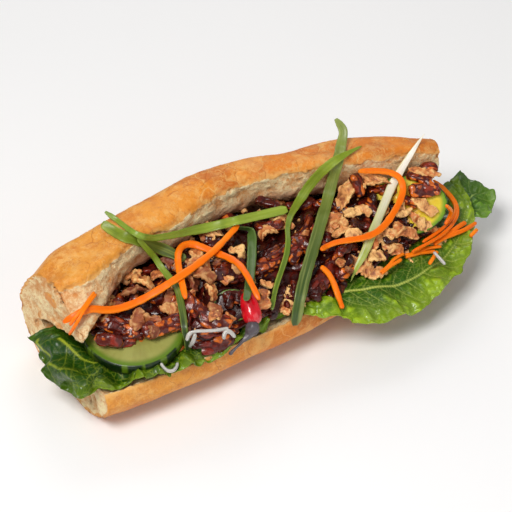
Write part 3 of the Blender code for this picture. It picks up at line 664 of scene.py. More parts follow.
@dataclass(frozen=True)
class BreadFinish(Finish):
    """Golden mottled crust with pale crackle, torn into a cream, open crumb."""

    gold: Colour = tint(228, 152, 52)
    amber: Colour = tint(230, 134, 26)
    toast: Colour = tint(186, 92, 22)
    pale: Colour = tint(240, 190, 112)
    cream: Colour = tint(255, 236, 186)
    shade: Colour = tint(220, 150, 84)
    stain: Colour = tint(212, 128, 94)

    def build(self) -> bpy.types.Material:
        """Crust and crumb, parted by the depth mark with a ragged edge.

        Returns:
            The material.
        """
        sheet = Sheet("bread")
        x, _, z = sheet.split(sheet.place)
        crust, skin = self.crust(sheet, x, z)
        crumb, puff = self.crumb(sheet)
        ragged = sheet.mark("depth") + (sheet.noise(5, 4, 0.65) - 0.5) * 5.0
        torn = sheet.ease(ragged, -0.1, 0.5)
        rim = sheet.ease(ragged, -2.4, -0.1) * (1 - torn)
        crust = sheet.mix(rim * 0.45, crust, self.pale)
        sheet.set(Base_Color=sheet.mix(torn, crust, crumb))
        sheet.set(Roughness=0.46 + torn * 0.4 + sheet.noise(3, 2) * 0.14)
        sheet.set(Coat_Weight=(1 - torn) * 0.1, Coat_Roughness=0.4, Specular_IOR_Level=0.35)
        sheet.bump(skin * (1 - torn) + torn * puff, 0.45, 0.9)
        return sheet.material

    def crust(self, sheet: Sheet, x: Value, z: Value) -> tuple:
        """The baked skin: gold to amber along the loaf, in thin flaking plates towards the right.

        Args:
            sheet: The material's nodes.
            x: Place along the loaf in metres.
            z: Height in metres.

        Returns:
            Its colour socket and its relief.
        """
        along = sheet.ease(x + (sheet.noise(60, 1) - 0.5) * 0.12, -0.09, 0.03)
        colour = sheet.mix(along, self.gold, self.amber)
        colour = sheet.mix(sheet.ease(sheet.noise(20, 5, 0.65), 0.44, 0.64) * 0.6, colour, self.toast)
        colour = sheet.mix(sheet.ease(sheet.noise(8, 5, 0.75), 0.48, 0.64) * 0.5, colour, self.pale)
        bent = sheet.bent(12, 5)
        plate = sheet.node("ShaderNodeTexVoronoi", {}, {"Vector": bent, "Scale": 1 / (15 * MM)})
        tone = sheet.split(plate.outputs["Color"])[0]
        flaky = sheet.ease(x + (sheet.noise(30, 2) - 0.5) * 0.09, -0.055, -0.01)
        colour = sheet.mix(flaky * sheet.ease(tone, 0.45, 0.9) * 0.4, colour, self.toast)
        colour = sheet.mix(flaky * (1 - sheet.ease(tone, 0.1, 0.4)) * 0.3, colour, self.pale)
        seam = 1 - sheet.ease(sheet.cells(15, "DISTANCE_TO_EDGE", bent), 0.0, 0.03)
        seam = seam * flaky * sheet.ease(sheet.noise(12, 2), 0.4, 0.55)
        colour = sheet.mix(seam * 0.55, colour, self.pale)
        split = 1 - sheet.ease(sheet.cells(19, "DISTANCE_TO_EDGE", sheet.bent(9, 4)), 0.0, 0.016)
        split = split * sheet.ease(sheet.noise(14, 2), 0.46, 0.58)
        colour = sheet.mix(split * 0.6, colour, self.toast)
        hair = sheet.math("ABSOLUTE", sheet.noise(8, 4, 0.62, 1.2) - 0.5)
        hair = (1 - sheet.ease(hair, 0.0, 0.028)) * sheet.ease(sheet.noise(13, 2), 0.4, 0.6)
        colour = sheet.mix(hair * 0.5, colour, self.pale)
        freckle = sheet.ease(sheet.noise(2.4, 4, 0.75), 0.56, 0.72)
        colour = sheet.mix(freckle * 0.4, colour, self.toast)
        floury = sheet.ease(sheet.noise(1.7, 4, 0.7, place=sheet.bent(6, 2)), 0.56, 0.74)
        colour = sheet.mix(floury * 0.3, colour, self.pale)
        # Darker towards the bottom, within 20 mm of the floor.
        colour = sheet.mix((1 - sheet.ease(z, 0.001, 0.02)) * 0.3, colour, self.toast)
        scurf = sheet.noise(2.4, 5, 0.72, 0.6)
        colour = sheet.mix(sheet.ease(scurf, 0.54, 0.68) * 0.3, colour, self.pale)
        colour = sheet.mix((1 - sheet.ease(scurf, 0.34, 0.46)) * 0.4, colour, self.toast)
        relief = tone * flaky * 0.8 + scurf * 1.1 + sheet.noise(5.5, 3) * 0.9 - seam * 0.3 - split * 0.4
        return colour, relief + hair * 0.15

    def crumb(self, sheet: Sheet) -> tuple:
        """The torn inside: cream tufts, a tanner painted shade between them and in the pores, and a stain
        beside the filling.

        Args:
            sheet: The material's nodes.

        Returns:
            Its colour socket and its relief.
        """
        tuft = sheet.noise(5.0, 5, 0.6, 0.3)
        puff = sheet.noise(1.0, 4, 0.75)
        pit = sheet.mark("pit")
        # Cream where the tufts and fluff stand high, tanner painted shade where they sink and in the pits.
        light = sheet.ease(tuft * 0.55 + puff * 0.6 + pit * 0.12, 0.38, 0.74)
        colour = sheet.mix(light, self.shade, self.cream)
        # Pores pulled towards the shade colour: painted shade in the pores.
        shaded_pore = 1 - sheet.ease(sheet.cells(1.9, "F1", sheet.bent(3, 1)), 0.05, 0.42)
        shaded_pore = shaded_pore * sheet.ease(sheet.noise(6, 2), 0.45, 0.65)
        colour = sheet.mix(shaded_pore * 0.3, colour, self.shade)
        near = sheet.mark("near") * sheet.ease(sheet.noise(10, 3), 0.28, 0.62)
        colour = sheet.mix(near * 0.7, colour, self.stain)
        return colour, puff * 2.2 + tuft * 0.8 - shaded_pore * 0.5


@dataclass(frozen=True)
class LettuceFinish(Finish):
    """Glossy leaf: deep green blisters, pale branching ribs and a yellower frill."""

    name: str = "lettuce"
    deep: Colour = tint(56, 98, 2)
    bright: Colour = tint(152, 184, 26)
    rib: Colour = tint(206, 216, 104)
    frill: Colour = tint(156, 184, 34)
    shadow: Colour = tint(26, 66, 4)
    shadow_y: tuple = (-0.036, -0.012)
    net: float = 0.16
    wet: float = 0.9

    def build(self) -> bpy.types.Material:
        """Greens picked by the blister and vein marks, with painted shade in the hollows between blisters and
        painted shadow where the leaf lies under the loaf's back.

        Returns:
            The material.
        """
        sheet = Sheet(self.name)
        vein = sheet.mark("vein")
        puff = sheet.mark("puff")
        # Deep to bright green: its own mottle by noise, with painted light on the raised blisters.
        green = sheet.mix(sheet.ease(sheet.noise(15, 3) * 0.9 + puff * 0.4, 0.4, 0.9), self.deep, self.bright)
        green = sheet.mix(sheet.ease(sheet.noise(3.5, 4, 0.6), 0.42, 0.7) * 0.45, green, self.deep)
        web = 1 - sheet.ease(sheet.cells(3.4, "DISTANCE_TO_EDGE", sheet.bent(4, 1.2)), 0.0, 0.07)
        # Painted shade in the hollows between the blisters.
        green = sheet.mix((1 - sheet.ease(puff, 0.05, 0.5)) * 0.45, green, self.shadow)
        green = sheet.mix(web * self.net, green, self.rib)
        green = sheet.mix(sheet.mark("rim") * 0.5, green, self.frill)
        # Painted shadow where the leaf lies under the loaf's back, towards larger y.
        back = sheet.ease(sheet.split(sheet.place)[1] + (sheet.noise(18, 2) - 0.5) * 0.02, *self.shadow_y)
        green = sheet.mix(back * 0.75, green, self.shadow)
        green = sheet.mix(sheet.ease(vein, 0.06, 0.8) * 0.85, green, self.rib)
        wet = sheet.ease(sheet.noise(16, 2), 0.5, 0.64)
        sheet.set(Base_Color=green, Roughness=0.3 + sheet.noise(5, 2) * 0.2)
        sheet.set(Coat_Weight=wet * self.wet, Coat_Roughness=0.1, Specular_IOR_Level=0.3)
        sheet.bump(web * -0.25 + sheet.noise(1.8, 3) * 0.45 + vein * 0.4 + puff * 0.8, 0.35, 0.8)
        return sheet.material


@dataclass(frozen=True)
class CucumberFinish(Finish):
    """A cut slice: pale flesh with a seedy middle, a bright green ring and striped dark skin."""

    name: str = "cucumber"
    # The flesh, heart and ring are darkened as painted shade, for slices that lie in the heap's shadow.
    flesh: Colour = tint(158, 158, 84)
    heart: Colour = tint(134, 128, 60)
    ring: Colour = tint(92, 122, 26)
    skin: Colour = tint(6, 32, 3)
    stripe: Colour = tint(84, 112, 10)

    def build(self) -> bpy.types.Material:
        """Rings by distance from the middle, stripes down the side.

        Returns:
            The material.
        """
        sheet = Sheet(self.name)
        spot = sheet.mark_vector("disc")
        px, py, _ = sheet.split(spot)
        out = sheet.math("SQRT", px * px + py * py)
        flesh = sheet.mix(sheet.ease(out, 0.35, 0.62), self.heart, self.flesh)
        spokes = sheet.noise(1000, 3, 0.6, place=sheet.join(px / out * 2.5, py / out * 2.5, out * 1.2))
        flesh = sheet.mix(sheet.ease(spokes, 0.45, 0.7) * 0.5, flesh, self.heart)
        flesh = sheet.mix(sheet.ease(out, 0.8, 0.94), flesh, self.ring)
        stripes = sheet.noise(1000, 2, 0.6, place=sheet.join(px / out * 3.4, py / out * 3.4, 3.7))
        rind = sheet.mix(sheet.ease(stripes, 0.5, 0.58), self.skin, self.stripe)
        rind = sheet.mix(sheet.ease(sheet.noise(2.5, 3), 0.55, 0.75) * 0.25, rind, self.stripe)
        side = sheet.mark("side")
        peel = sheet.ease(out, 0.955, 0.985)
        colour = sheet.mix(peel, flesh, rind)
        colour = sheet.mix(side, colour, rind)
        sheet.set(Base_Color=colour, Roughness=0.26 + sheet.noise(4, 3) * 0.2)
        sheet.set(Coat_Weight=0.15, Coat_Roughness=0.12, Specular_IOR_Level=0.35)
        sheet.bump(sheet.noise(1.2, 3) * 0.5 + spokes * 0.8, 0.3, 0.6)
        return sheet.material


@dataclass(frozen=True)
class TempehFinish(Finish):
    """Sticky dark glaze over pressed beans, amber where the glaze runs thin."""

    name: str = "glazed_tempeh"
    glaze: Colour = tint(48, 8, 5)
    brown: Colour = tint(130, 34, 16)
    amber: Colour = tint(230, 116, 24)
    paste: Colour = tint(150, 66, 42)
    bare: float = 0.45

    def build(self) -> bpy.types.Material:
        """Each bean takes a tone of its own; the hollows stay dark.

        Returns:
            The material.
        """
        sheet = Sheet(self.name)
        bean, tone, piece = sheet.mark("bean"), sheet.mark("tone"), sheet.mark("piece")
        bean_tone = sheet.ease(tone * 0.75 + piece * 0.4, self.bare, self.bare + 0.5)
        body = sheet.mix(sheet.ease(piece + (sheet.noise(6, 3) - 0.5) * 0.8, 0.1, 0.9), self.glaze, self.brown)
        bare = sheet.ease(sheet.noise(7, 3) + piece * 0.3, 0.5, 0.72)
        warm = sheet.mix(bean_tone * sheet.ease(sheet.noise(2.2, 2), 0.25, 0.55) * bare * 0.9, body, self.amber)
        colour = sheet.mix(sheet.ease(bean, 0.2, 0.7), sheet.mix(0.7, body, self.glaze), warm)
        smear = sheet.ease(sheet.noise(3.4, 4, 0.6), 0.56, 0.74) * sheet.ease(piece, 0.2, 0.8)
        colour = sheet.mix(smear * 0.45, colour, self.paste)
        sheet.set(Base_Color=colour, Roughness=0.14 + sheet.noise(2.5, 3) * 0.26)
        sheet.set(Coat_Weight=0.35, Coat_Roughness=0.08, Specular_IOR_Level=0.3)
        sheet.bump(sheet.noise(1.3, 4, 0.6) * 0.9 + sheet.noise(4, 2) * 0.5, 0.32, 0.8)
        return sheet.material


@dataclass(frozen=True)
class CrispFinish(Finish):
    """Fried crisp flakes: golden ridges and browner folds, partly their own colour and partly painted highlight
    and painted shade, and a dull greasy shine.
    """

    name: str = "crisp"
    ridge: Colour = tint(252, 206, 132)
    body: Colour = tint(218, 130, 66)
    fold: Colour = tint(126, 56, 30)

    def build(self) -> bpy.types.Material:
        """Colour by each flake's own tone, and by relief as painted highlight on the ridges and painted shade
        in the folds.

        Returns:
            The material.
        """
        sheet = Sheet(self.name)
        lift, piece = sheet.mark("bean"), sheet.mark("piece")
        base = sheet.mix(sheet.ease(piece, 0.0, 0.6), self.fold, self.body)
        base = sheet.mix(sheet.ease(piece, 0.5, 1.0) * 0.7, base, self.ridge)
        base = sheet.mix(sheet.ease(sheet.noise(3.2, 4, 0.65), 0.48, 0.68) * 0.6, base, self.fold)
        # Painted highlight on the raised ridges.
        ridge = sheet.ease(lift + (sheet.noise(1.6, 4, 0.7) - 0.5) * 0.6, 0.45, 0.9)
        colour = sheet.mix(ridge * sheet.ease(piece, -0.3, 0.9) * 0.85, base, self.ridge)
        # Painted shade in the low folds.
        colour = sheet.mix((1 - sheet.ease(lift, 0.05, 0.42)) * 0.75, colour, self.fold)
        sheet.set(Base_Color=colour, Roughness=0.45 + sheet.noise(2, 3) * 0.3)
        sheet.set(Coat_Weight=0.12, Coat_Roughness=0.3)
        sheet.bump(sheet.noise(0.9, 4, 0.65) + sheet.cells(1.5) * 0.4, 0.35, 0.9)
        return sheet.material


@dataclass(frozen=True)
class ShredFinish(Finish):
    """A cut shred with fibres along its length, its colour turning from near end to far end."""

    name: str
    body: Colour
    pale: Colour
    dark: Colour
    far: Colour
    brim: Colour
    shine: float = 0.35
    streak: float = 0.5
    wet: float = 0.2
    gloss: float = 0.35

    def build(self) -> bpy.types.Material:
        """Lengthwise streaks read from the grain mark, the pale ones partly fibres and partly painted sheen.

        Returns:
            The material.
        """
        sheet = Sheet(self.name)
        across, up, length = sheet.split(sheet.mark_vector("grain"))
        lane = sheet.join(across, up, length * 0.035)
        fibre = sheet.noise(0.55, 3, 0.6, place=lane)
        broad = sheet.noise(1.6, 2, 0.5, place=lane)
        body = sheet.mix(sheet.ease(sheet.mark("share") + (broad - 0.5) * 0.3, 0.1, 0.85), self.body, self.far)
        # Pale lengthwise streaks: partly the shred's own fibres, partly painted sheen.
        colour = sheet.mix(sheet.ease(broad, 0.4, 0.68) * self.streak, body, self.pale)
        colour = sheet.mix(sheet.ease(fibre, 0.52, 0.72) * self.streak * 0.8, colour, self.dark)
        colour = sheet.mix(sheet.ease(sheet.noise(6, 3), 0.45, 0.75) * 0.35, colour, self.dark)
        colour = sheet.mix(sheet.mark("edge") * 0.7, colour, self.brim)
        sheet.set(Base_Color=colour, Roughness=self.shine + 0.15 * sheet.noise(3, 2), Coat_Weight=self.wet)
        sheet.set(Coat_Roughness=0.2, Specular_IOR_Level=self.gloss)
        sheet.bump(fibre * 0.7 + broad * 0.5 + sheet.noise(1.2, 2) * 0.3, 0.22, 0.7)
        return sheet.material


@dataclass(frozen=True)
class ChilliFinish(Finish):
    """Taut glossy red skin with a soft blotch or two."""

    red: Colour = tint(216, 4, 30)
    deep: Colour = tint(150, 0, 20)
    light: Colour = tint(236, 48, 44)

    def build(self) -> bpy.types.Material:
        """Red with deeper and lighter blotches by noise.

        Returns:
            The material.
        """
        sheet = Sheet("chilli")
        colour = sheet.mix(sheet.ease(sheet.noise(5, 3), 0.4, 0.7) * 0.6, self.red, self.deep)
        colour = sheet.mix(sheet.ease(sheet.noise(2.5, 2), 0.6, 0.8) * 0.3, colour, self.light)
        sheet.set(Base_Color=colour, Roughness=0.2 + sheet.noise(4, 2) * 0.1)
        sheet.set(Coat_Weight=0.8, Coat_Roughness=0.06)
        sheet.bump(sheet.noise(3, 2) * 0.8, 0.3, 0.5)
        return sheet.material


@dataclass(frozen=True)
class FloorFinish(Finish):
    """Plain pale studio floor with the least unevenness."""

    pale: Colour = tint(250, 250, 250)
    cool: Colour = tint(246, 246, 248)

    def build(self) -> bpy.types.Material:
        """Nearly even white.

        Returns:
            The material.
        """
        sheet = Sheet("studio_floor")
        sheet.set(Base_Color=sheet.mix(sheet.noise(300, 2), self.pale, self.cool), Roughness=0.9)
        return sheet.material


# ---------------------------------------------------------------- the loaf
@dataclass
class Loaf:
    """The opened half baguette: crust outside, torn crumb inside, cut flat at both ends."""

    left: float = -106.0
    right: float = 104.0
    rings: int = 300
    around: int = 138
    layers: int = 26
    stations: tuple = (-106, -95, -80, -60, -40, -15, 10, 35, 60, 82, 96, 104)
    front: tuple = (-37, -39, -41, -43, -44, -45, -45, -44, -41, -37, -34, -31)
    rim: tuple = (27, 27, 27, 27, 27, 26, 26, 25, 24, 24, 24, 24)
    back: tuple = (41, 42, 43, 43, 43, 43, 41, 38, 33, 27, 21, 16)
    shoulder_y: tuple = (21, 24, 25, 26, 27, 29, 27, 20, 15, 5, -4, -8)
    shoulder_z: tuple = (59, 64, 66, 68, 69, 70, 69, 67, 66.5, 65.5, 64, 62)
    lip_y: tuple = (3, -3, 0, 6, 6, 11, 11, 3, -6, -13, -17, -18)
    lip_z: tuple = (62, 65, 66, 66, 66, 66, 66, 66, 66, 65, 63, 60)
    chin: tuple = (24, 12, 4, 0, 0, 0, 0, 0, 0, 0, 0, 0)
    chip: tuple = (-106, 8.0, 50.8)
    chip_reach: tuple = (3.8, 6.4, 3.8)
    chip_depth: float = 34.0
    grain: Grain = field(default_factory=lambda: Grain(21))

    def section(self, x: float) -> tuple:
        """The crust's and the crumb's outlines at a station.

        Args:
            x: Where along the loaf.

        Returns:
            Two arrays of (y, z), both from the lower rim to the lip.
        """
        rows = (
            self.front, self.rim, self.back, self.shoulder_y, self.shoulder_z, self.lip_y, self.lip_z,
            self.chin,
        )
        front, rim, back, shoulder_y, shoulder_z, lip_y, lip_z, chin = (
            hermite(row, self.stations, x) for row in rows
        )
        crust = [
            (front, rim), (front - 1.5, rim * 0.62), (front + 4.5, 8.5), (front + 17, 1.8), (-11, 0),
            (min(11, back - 24), 0), (back - 15, 1.8), (back - 3, 11), (back, 25),
            (back - 2.5, 0.62 * shoulder_z), (shoulder_y, shoulder_z),
            (0.5 * (lip_y + shoulder_y), shoulder_z + 2.5), (lip_y + 2, lip_z + 3.5), (lip_y, lip_z),
        ]
        crumb = [
            (front, rim), (front + 5, rim - 1), (0.4 * front, rim - 3), (back - 27, rim - 3),
            (back - 17, rim + 2), (back - 15, 0.5 * lip_z + 3), (lip_y - 0.5 * chin + 7, lip_z - 22),
            (lip_y - chin + 1, lip_z - 15), (lip_y - 0.4 * chin, lip_z - 7), (lip_y, lip_z),
        ]
        outside = smooth_line(crust, self.around)
        outside[:, 1] = np.maximum(outside[:, 1], 0.0)
        return outside, smooth_line(crumb, self.around)

    def skin(self) -> tuple:
        """The plain shape before any relief.

        Returns:
            Points, faces and each point's depth into the crumb (negative on the crust).
        """
        points, depth, faces = [], [], []
        count = 2 * self.around - 2
        places = [self.left + (self.right - self.left) * i / (self.rings - 1) for i in range(self.rings)]
        ends = {}
        for i, x in enumerate(places):
            crust, crumb = self.section(x)
            for outline, sign, keep in ((crust, -1, slice(None)), (crumb, 1, slice(-2, 0, -1))):
                along = arc_length(outline)
                reach = sign * np.minimum(along, along[-1] - along)
                depth.extend(reach[keep])
                points.extend((x, y, z) for y, z in outline[keep])
            if i in (0, self.rings - 1):
                ends[i] = (crust, crumb)
        for i in range(self.rings - 1):
            a, b = i * count, (i + 1) * count
            faces.extend((a + j, a + (j + 1) % count, b + (j + 1) % count, b + j) for j in range(count))
        for i, (crust, crumb) in ends.items():
            start = len(points)
            for k in range(self.layers + 1):
                row = crust + (crumb - crust) * (k / self.layers)
                points.extend((places[i], y, z) for y, z in row)
                depth.extend(np.linalg.norm(row - crust, axis=1) - 1.2)
            for k in range(self.layers):
                a = start + k * self.around
                b = a + self.around
                faces.extend((a + j, a + j + 1, b + j + 1, b + j) for j in range(self.around - 1))
        return np.array(points), faces, np.array(depth)

    def relief(self, points: np.ndarray, depth: np.ndarray) -> tuple:
        """How far each point moves out along its normal, and the crumb's own share of that.

        Args:
            points: The plain loaf's vertices.
            depth: How deep each lies in the crumb, below nought on the crust.

        Returns:
            The move of each point, and the crumb's share of it.
        """
        grain = self.grain
        ragged = depth + 2.5 * grain.rough(points, 5.0, 3, 40)
        torn = ease(ragged, -0.1, 0.6)
        first, second, _ = grain.cells(points + 1.5 * grain.smooth(points, 9, 5)[:, None], 12.0, 3)
        plate = 0.55 * grain.rough(points, 24, 3, 1) + 0.16 * grain.rough(points, 5, 3, 2)
        plate -= 0.25 * (1 - ease(second - first, 0.0, 0.09)) * ease(grain.smooth(points, 19, 8), -0.1, 0.3)
        lip = 0.45 * ease(ragged, -9, -0.5)
        big, _, tone = grain.cells(points, 5.2, 20)
        small, _, _ = grain.cells(points, 2.1, 24)
        pits = -1.1 * ease(-big, -0.5, -0.15) * ease(tone, 0.6, 0.9) - 0.3 * ease(-small, -0.5, -0.1)
        fluff = 0.34 * grain.rough(points, 2.4, 2, 30) + 0.75 * grain.smooth(points, 5, 33) + pits
        return (1 - torn) * (plate + lip) + torn * (fluff - 0.2), np.where(torn > 0.3, fluff, 0.4)

    def build(self) -> bpy.types.Object:
        """Makes the loaf's mesh and dresses it.

        Returns:
            The finished piece.
        """
        points, faces, depth = self.skin()
        from_chip = (points - np.array(self.chip)) / np.array(self.chip_reach)
        depth = depth - self.chip_depth * np.exp(-(from_chip**2).sum(1))
        made = shape_mesh("loaf", points, faces, {"depth": depth})
        seal(made, 1e-6)
        data = made.data
        points, normals, depth = vertex_array(data), normal_array(data), mark_array(data, "depth")
        out, pit = self.relief(points, depth)
        lift = 0.9 * np.exp(-((depth / 4) ** 2)) * self.grain.rough(points, 6, 3, 50)
        moved = points + normals * out[:, None]
        moved[:, 2] += lift * (points[:, 2] > 40)
        inside = (points[:, 0] > self.left + 0.5) & (points[:, 0] < self.right - 0.5)
        flat = inside & (points[:, 2] < 0.3)
        moved[:, 2] = np.where(flat, np.maximum(points[:, 2], 0.0), np.maximum(moved[:, 2], 0.0))
        moved[:, 1] = np.minimum(moved[:, 1], CAD_BOX[1][1] / MM)
        set_points(data, moved)
        near = ease(-np.abs(points[:, 0] - 5), -99, -80) * ease(-points[:, 2], -62, -50) * ease(depth, 2, 8)
        for name, values in (("pit", pit), ("near", near)):
            data.attributes.new(name, "FLOAT", "POINT").data.foreach_set("value", values.astype(np.float32))
        return seat(made, BreadFinish(), ["baguette"])


# ---------------------------------------------------------------- lettuce
@dataclass
class Leaf:
    """A lettuce leaf swept from its inner edge over the loaf's rim to its frilled outer edge."""

    name: str
    node: str
    inner: list
    middle: list
    outer: list
    columns: int
    rows: int
    ripple: float
    waves: float
    seed: int
    midribs: list
    frill: float = 1.3
    crumple: float = 0.0
    finish: LettuceFinish = LettuceFinish()
    thick: float = 0.7

    def sheet_points(self) -> np.ndarray:
        """The leaf's middle surface as a grid of points, columns by rows.

        Returns:
            The grid, columns by rows by three.
        """
        rng = random.Random(self.seed)
        phase = [rng.uniform(0, math.tau) for _ in range(4)]
        edges = [smooth_line(line, self.columns) for line in (self.inner, self.middle, self.outer)]
        grid = np.zeros((self.columns, self.rows, 3))
        for i in range(self.columns):
            grid[i] = smooth_line([tuple(edge[i]) for edge in edges], self.rows)
        u = np.linspace(0, 1, self.columns)[:, None]
        v = np.linspace(0, 1, self.rows)[None, :]
        wave = np.sin(self.waves * math.tau * u + phase[0])
        wave = wave + 0.5 * np.sin(1.9 * self.waves * math.tau * u + phase[1] + 2 * v)
        fold = 0.4 * np.sin(5 * v * math.pi + phase[2])
        grid[:, :, 2] += self.ripple * v * v * (wave + fold)
        return grid

    def veins(self, rng: random.Random) -> list:
        """Points along every rib and side vein.

        Args:
            rng: Source of the branching.

        Returns:
            Tuples of x, y and half width.
        """
        found = []
        for rib, width in self.midribs:
            line = smooth_line(rib, 80)
            total = arc_length(line)[-1]
            found += [(x, y, width * (1 - 0.65 * i / 79)) for i, (x, y) in enumerate(line)]
            steps = max(3, int(total / 8.5))
            for k in range(steps):
                at = min(78, int((k + rng.uniform(0.2, 0.8)) / steps * 79))
                heading = math.atan2(*(line[at + 1] - line[at])[::-1])
                for side in (-1, 1):
                    turned = heading + side * rng.uniform(0.75, 1.0)
                    found += self.branch(line[at], turned, -side, 24, 0.32 * width, rng, 1)
        return found

    def branch(self, start: np.ndarray, heading: float, bend: float, length: float, width: float,
               rng: random.Random, order: int) -> list:
        """One side vein and its own twigs, as (x, y, half width).

        Args:
            start: Where it leaves the rib.
            heading: Its first direction in radians.
            bend: Which way it curves.
            length: How long it is.
            width: Its half width at the start.
            rng: Source of its wandering.
            order: How many more times it branches.

        Returns:
            Its points, from the start outwards.
        """
        found, spot, wander = [], np.array(start, dtype=float), 0.0
        steps = int(length * rng.uniform(0.7, 1.1) / 0.5)
        for k in range(steps):
            wander = 0.85 * wander + rng.uniform(-0.012, 0.012)
            heading += 0.01 * bend + wander
            spot = spot + 0.5 * np.array([math.cos(heading), math.sin(heading)])
            found.append((spot[0], spot[1], width * (1 - 0.6 * k / steps)))
            if order and k % 13 == 8:
                turn = rng.choice((-1, 1)) * rng.uniform(0.7, 1.2)
                found += self.branch(spot, heading + turn, -turn, 0.32 * length, 0.55 * width, rng, order - 1)
        return found

    def vein_marks(self, flat: np.ndarray) -> tuple:
        """How strongly each point is vein, and how far the nearest vein is.

        Args:
            flat: Points of the leaf's middle surface.

        Returns:
            Two values for each point.
        """
        veins = self.veins(random.Random(self.seed + 100))
        tree = KDTree(len(veins))
        for k, (x, y, _) in enumerate(veins):
            tree.insert((x, y, 0), k)
        tree.balance()
        vein, gap = np.zeros(len(flat)), np.zeros(len(flat))
        for k, (x, y, _) in enumerate(flat):
            best, nearest = 0.0, 99.0
            for _, index, reach in tree.find_n((x, y, 0), 4):
                width = veins[index][2]
                best = max(best, (1 - reach / (width + 0.3)) * min(1.0, 0.28 + 0.8 * width))
                nearest = min(nearest, reach)
            vein[k], gap[k] = max(best, 0.0), nearest
        return vein, gap

    def relief(
        self, flat: np.ndarray, u: np.ndarray, v: np.ndarray, vein: np.ndarray, gap: np.ndarray
    ) -> tuple:
        """Blisters between the veins, crumples, and a frill at the free edge.

        Args:
            flat: Points of the leaf's middle surface.
            u: Share of the way along the leaf.
            v: Share of the way from the inner edge to the outer one.
            vein: How strongly each point is vein.
            gap: How far the nearest vein is.

        Returns:
            For each point its lift, how far its edge is torn, and its blister mark.
        """
        grain = Grain(self.seed + 60)
        free, edge = ease(v, 0.3, 0.75), ease(v, 0.72, 1.0)
        ends = ease(np.minimum(u, 1 - u), 0.0, 0.06)
        blister, far, _ = grain.cells(flat + grain.smooth(flat, 6, 15)[:, None], 5.6, 17)
        puff = ease(gap, 0.2, 3.4) * (0.35 + 0.65 * ease(far - blister, 0.0, 0.4))
        lift = 1.5 * puff * (0.4 + 0.6 * free) + 0.55 * grain.rough(flat, 8, 3, 1) * (0.4 + 0.6 * free)
        lift += self.crumple * ease(v, 0.15, 0.5) * (1 - 2.4 * np.abs(grain.smooth(flat, 12, 21)))
        lift += 0.35 * self.crumple * free * (1 - 2.4 * np.abs(grain.smooth(flat, 5.5, 27)))
        lift += self.frill * edge * (grain.smooth(flat, 8, 5) + 0.7 * grain.smooth(flat, 3.6, 6)) * ends
        return lift - 0.35 * vein, edge * (1.3 * grain.rough(flat, 9, 3, 9) - 0.6), puff

    def faces(self) -> list:
        """Both sides of the leaf and the strip that joins them round its edge.

        Returns:
            Tuples of vertex numbers, the upper side's vertices first.
        """
        columns, rows = self.columns, self.rows
        count = columns * rows
        found = []
        for i in range(columns - 1):
            for j in range(rows - 1):
                a = i * rows + j
                quad = (a, a + rows, a + rows + 1, a + 1)
                found += [quad, tuple(k + count for k in quad[::-1])]
        loop = [i * rows for i in range(columns)]
        loop += [(columns - 1) * rows + j for j in range(1, rows)]
        loop += [i * rows + rows - 1 for i in range(columns - 2, -1, -1)]
        loop += list(range(rows - 2, 0, -1))
        return found + [(a, a + count, b + count, b) for a, b in zip(loop, loop[1:] + loop[:1])]

    def build(self) -> bpy.types.Object:
        """Makes the leaf with its veins, blisters and frill, and dresses it.

        Returns:
            The finished piece.
        """
        grid = self.sheet_points()
        flat = grid.reshape(-1, 3)
        u = np.repeat(np.linspace(0, 1, self.columns), self.rows)
        v = np.tile(np.linspace(0, 1, self.rows), self.columns)
        vein, gap = self.vein_marks(flat)
        lift, torn, puff = self.relief(flat, u, v, vein, gap)
        across = np.gradient(grid, axis=1)
        normal = np.cross(np.gradient(grid, axis=0), across).reshape(-1, 3)
        normal /= np.maximum(np.linalg.norm(normal, axis=1), 1e-9)[:, None]
        normal *= np.where(normal[:, 2:3] < 0, -1, 1)
        outward = across.reshape(-1, 3)
        outward[:, 2] *= 0.3
        outward /= np.maximum(np.linalg.norm(outward, axis=1), 1e-9)[:, None]
        middle = flat + normal * lift[:, None] + outward * torn[:, None]
        half = 0.5 * self.thick * (1 - 0.55 * ease(v, 0.72, 1.0)) + 0.25 * vein
        top = middle + normal * half[:, None]
        bottom = middle - normal * (half + 0.35 * vein)[:, None]
        marks = {"vein": np.tile(vein, 2), "puff": np.tile(puff, 2), "rim": np.tile(ease(v, 0.62, 1.0), 2)}
        made = shape_mesh(self.name, np.vstack([top, bottom]), self.faces(), marks)
        seal(made, 1e-7)
        return seat(made, self.finish, [self.node])


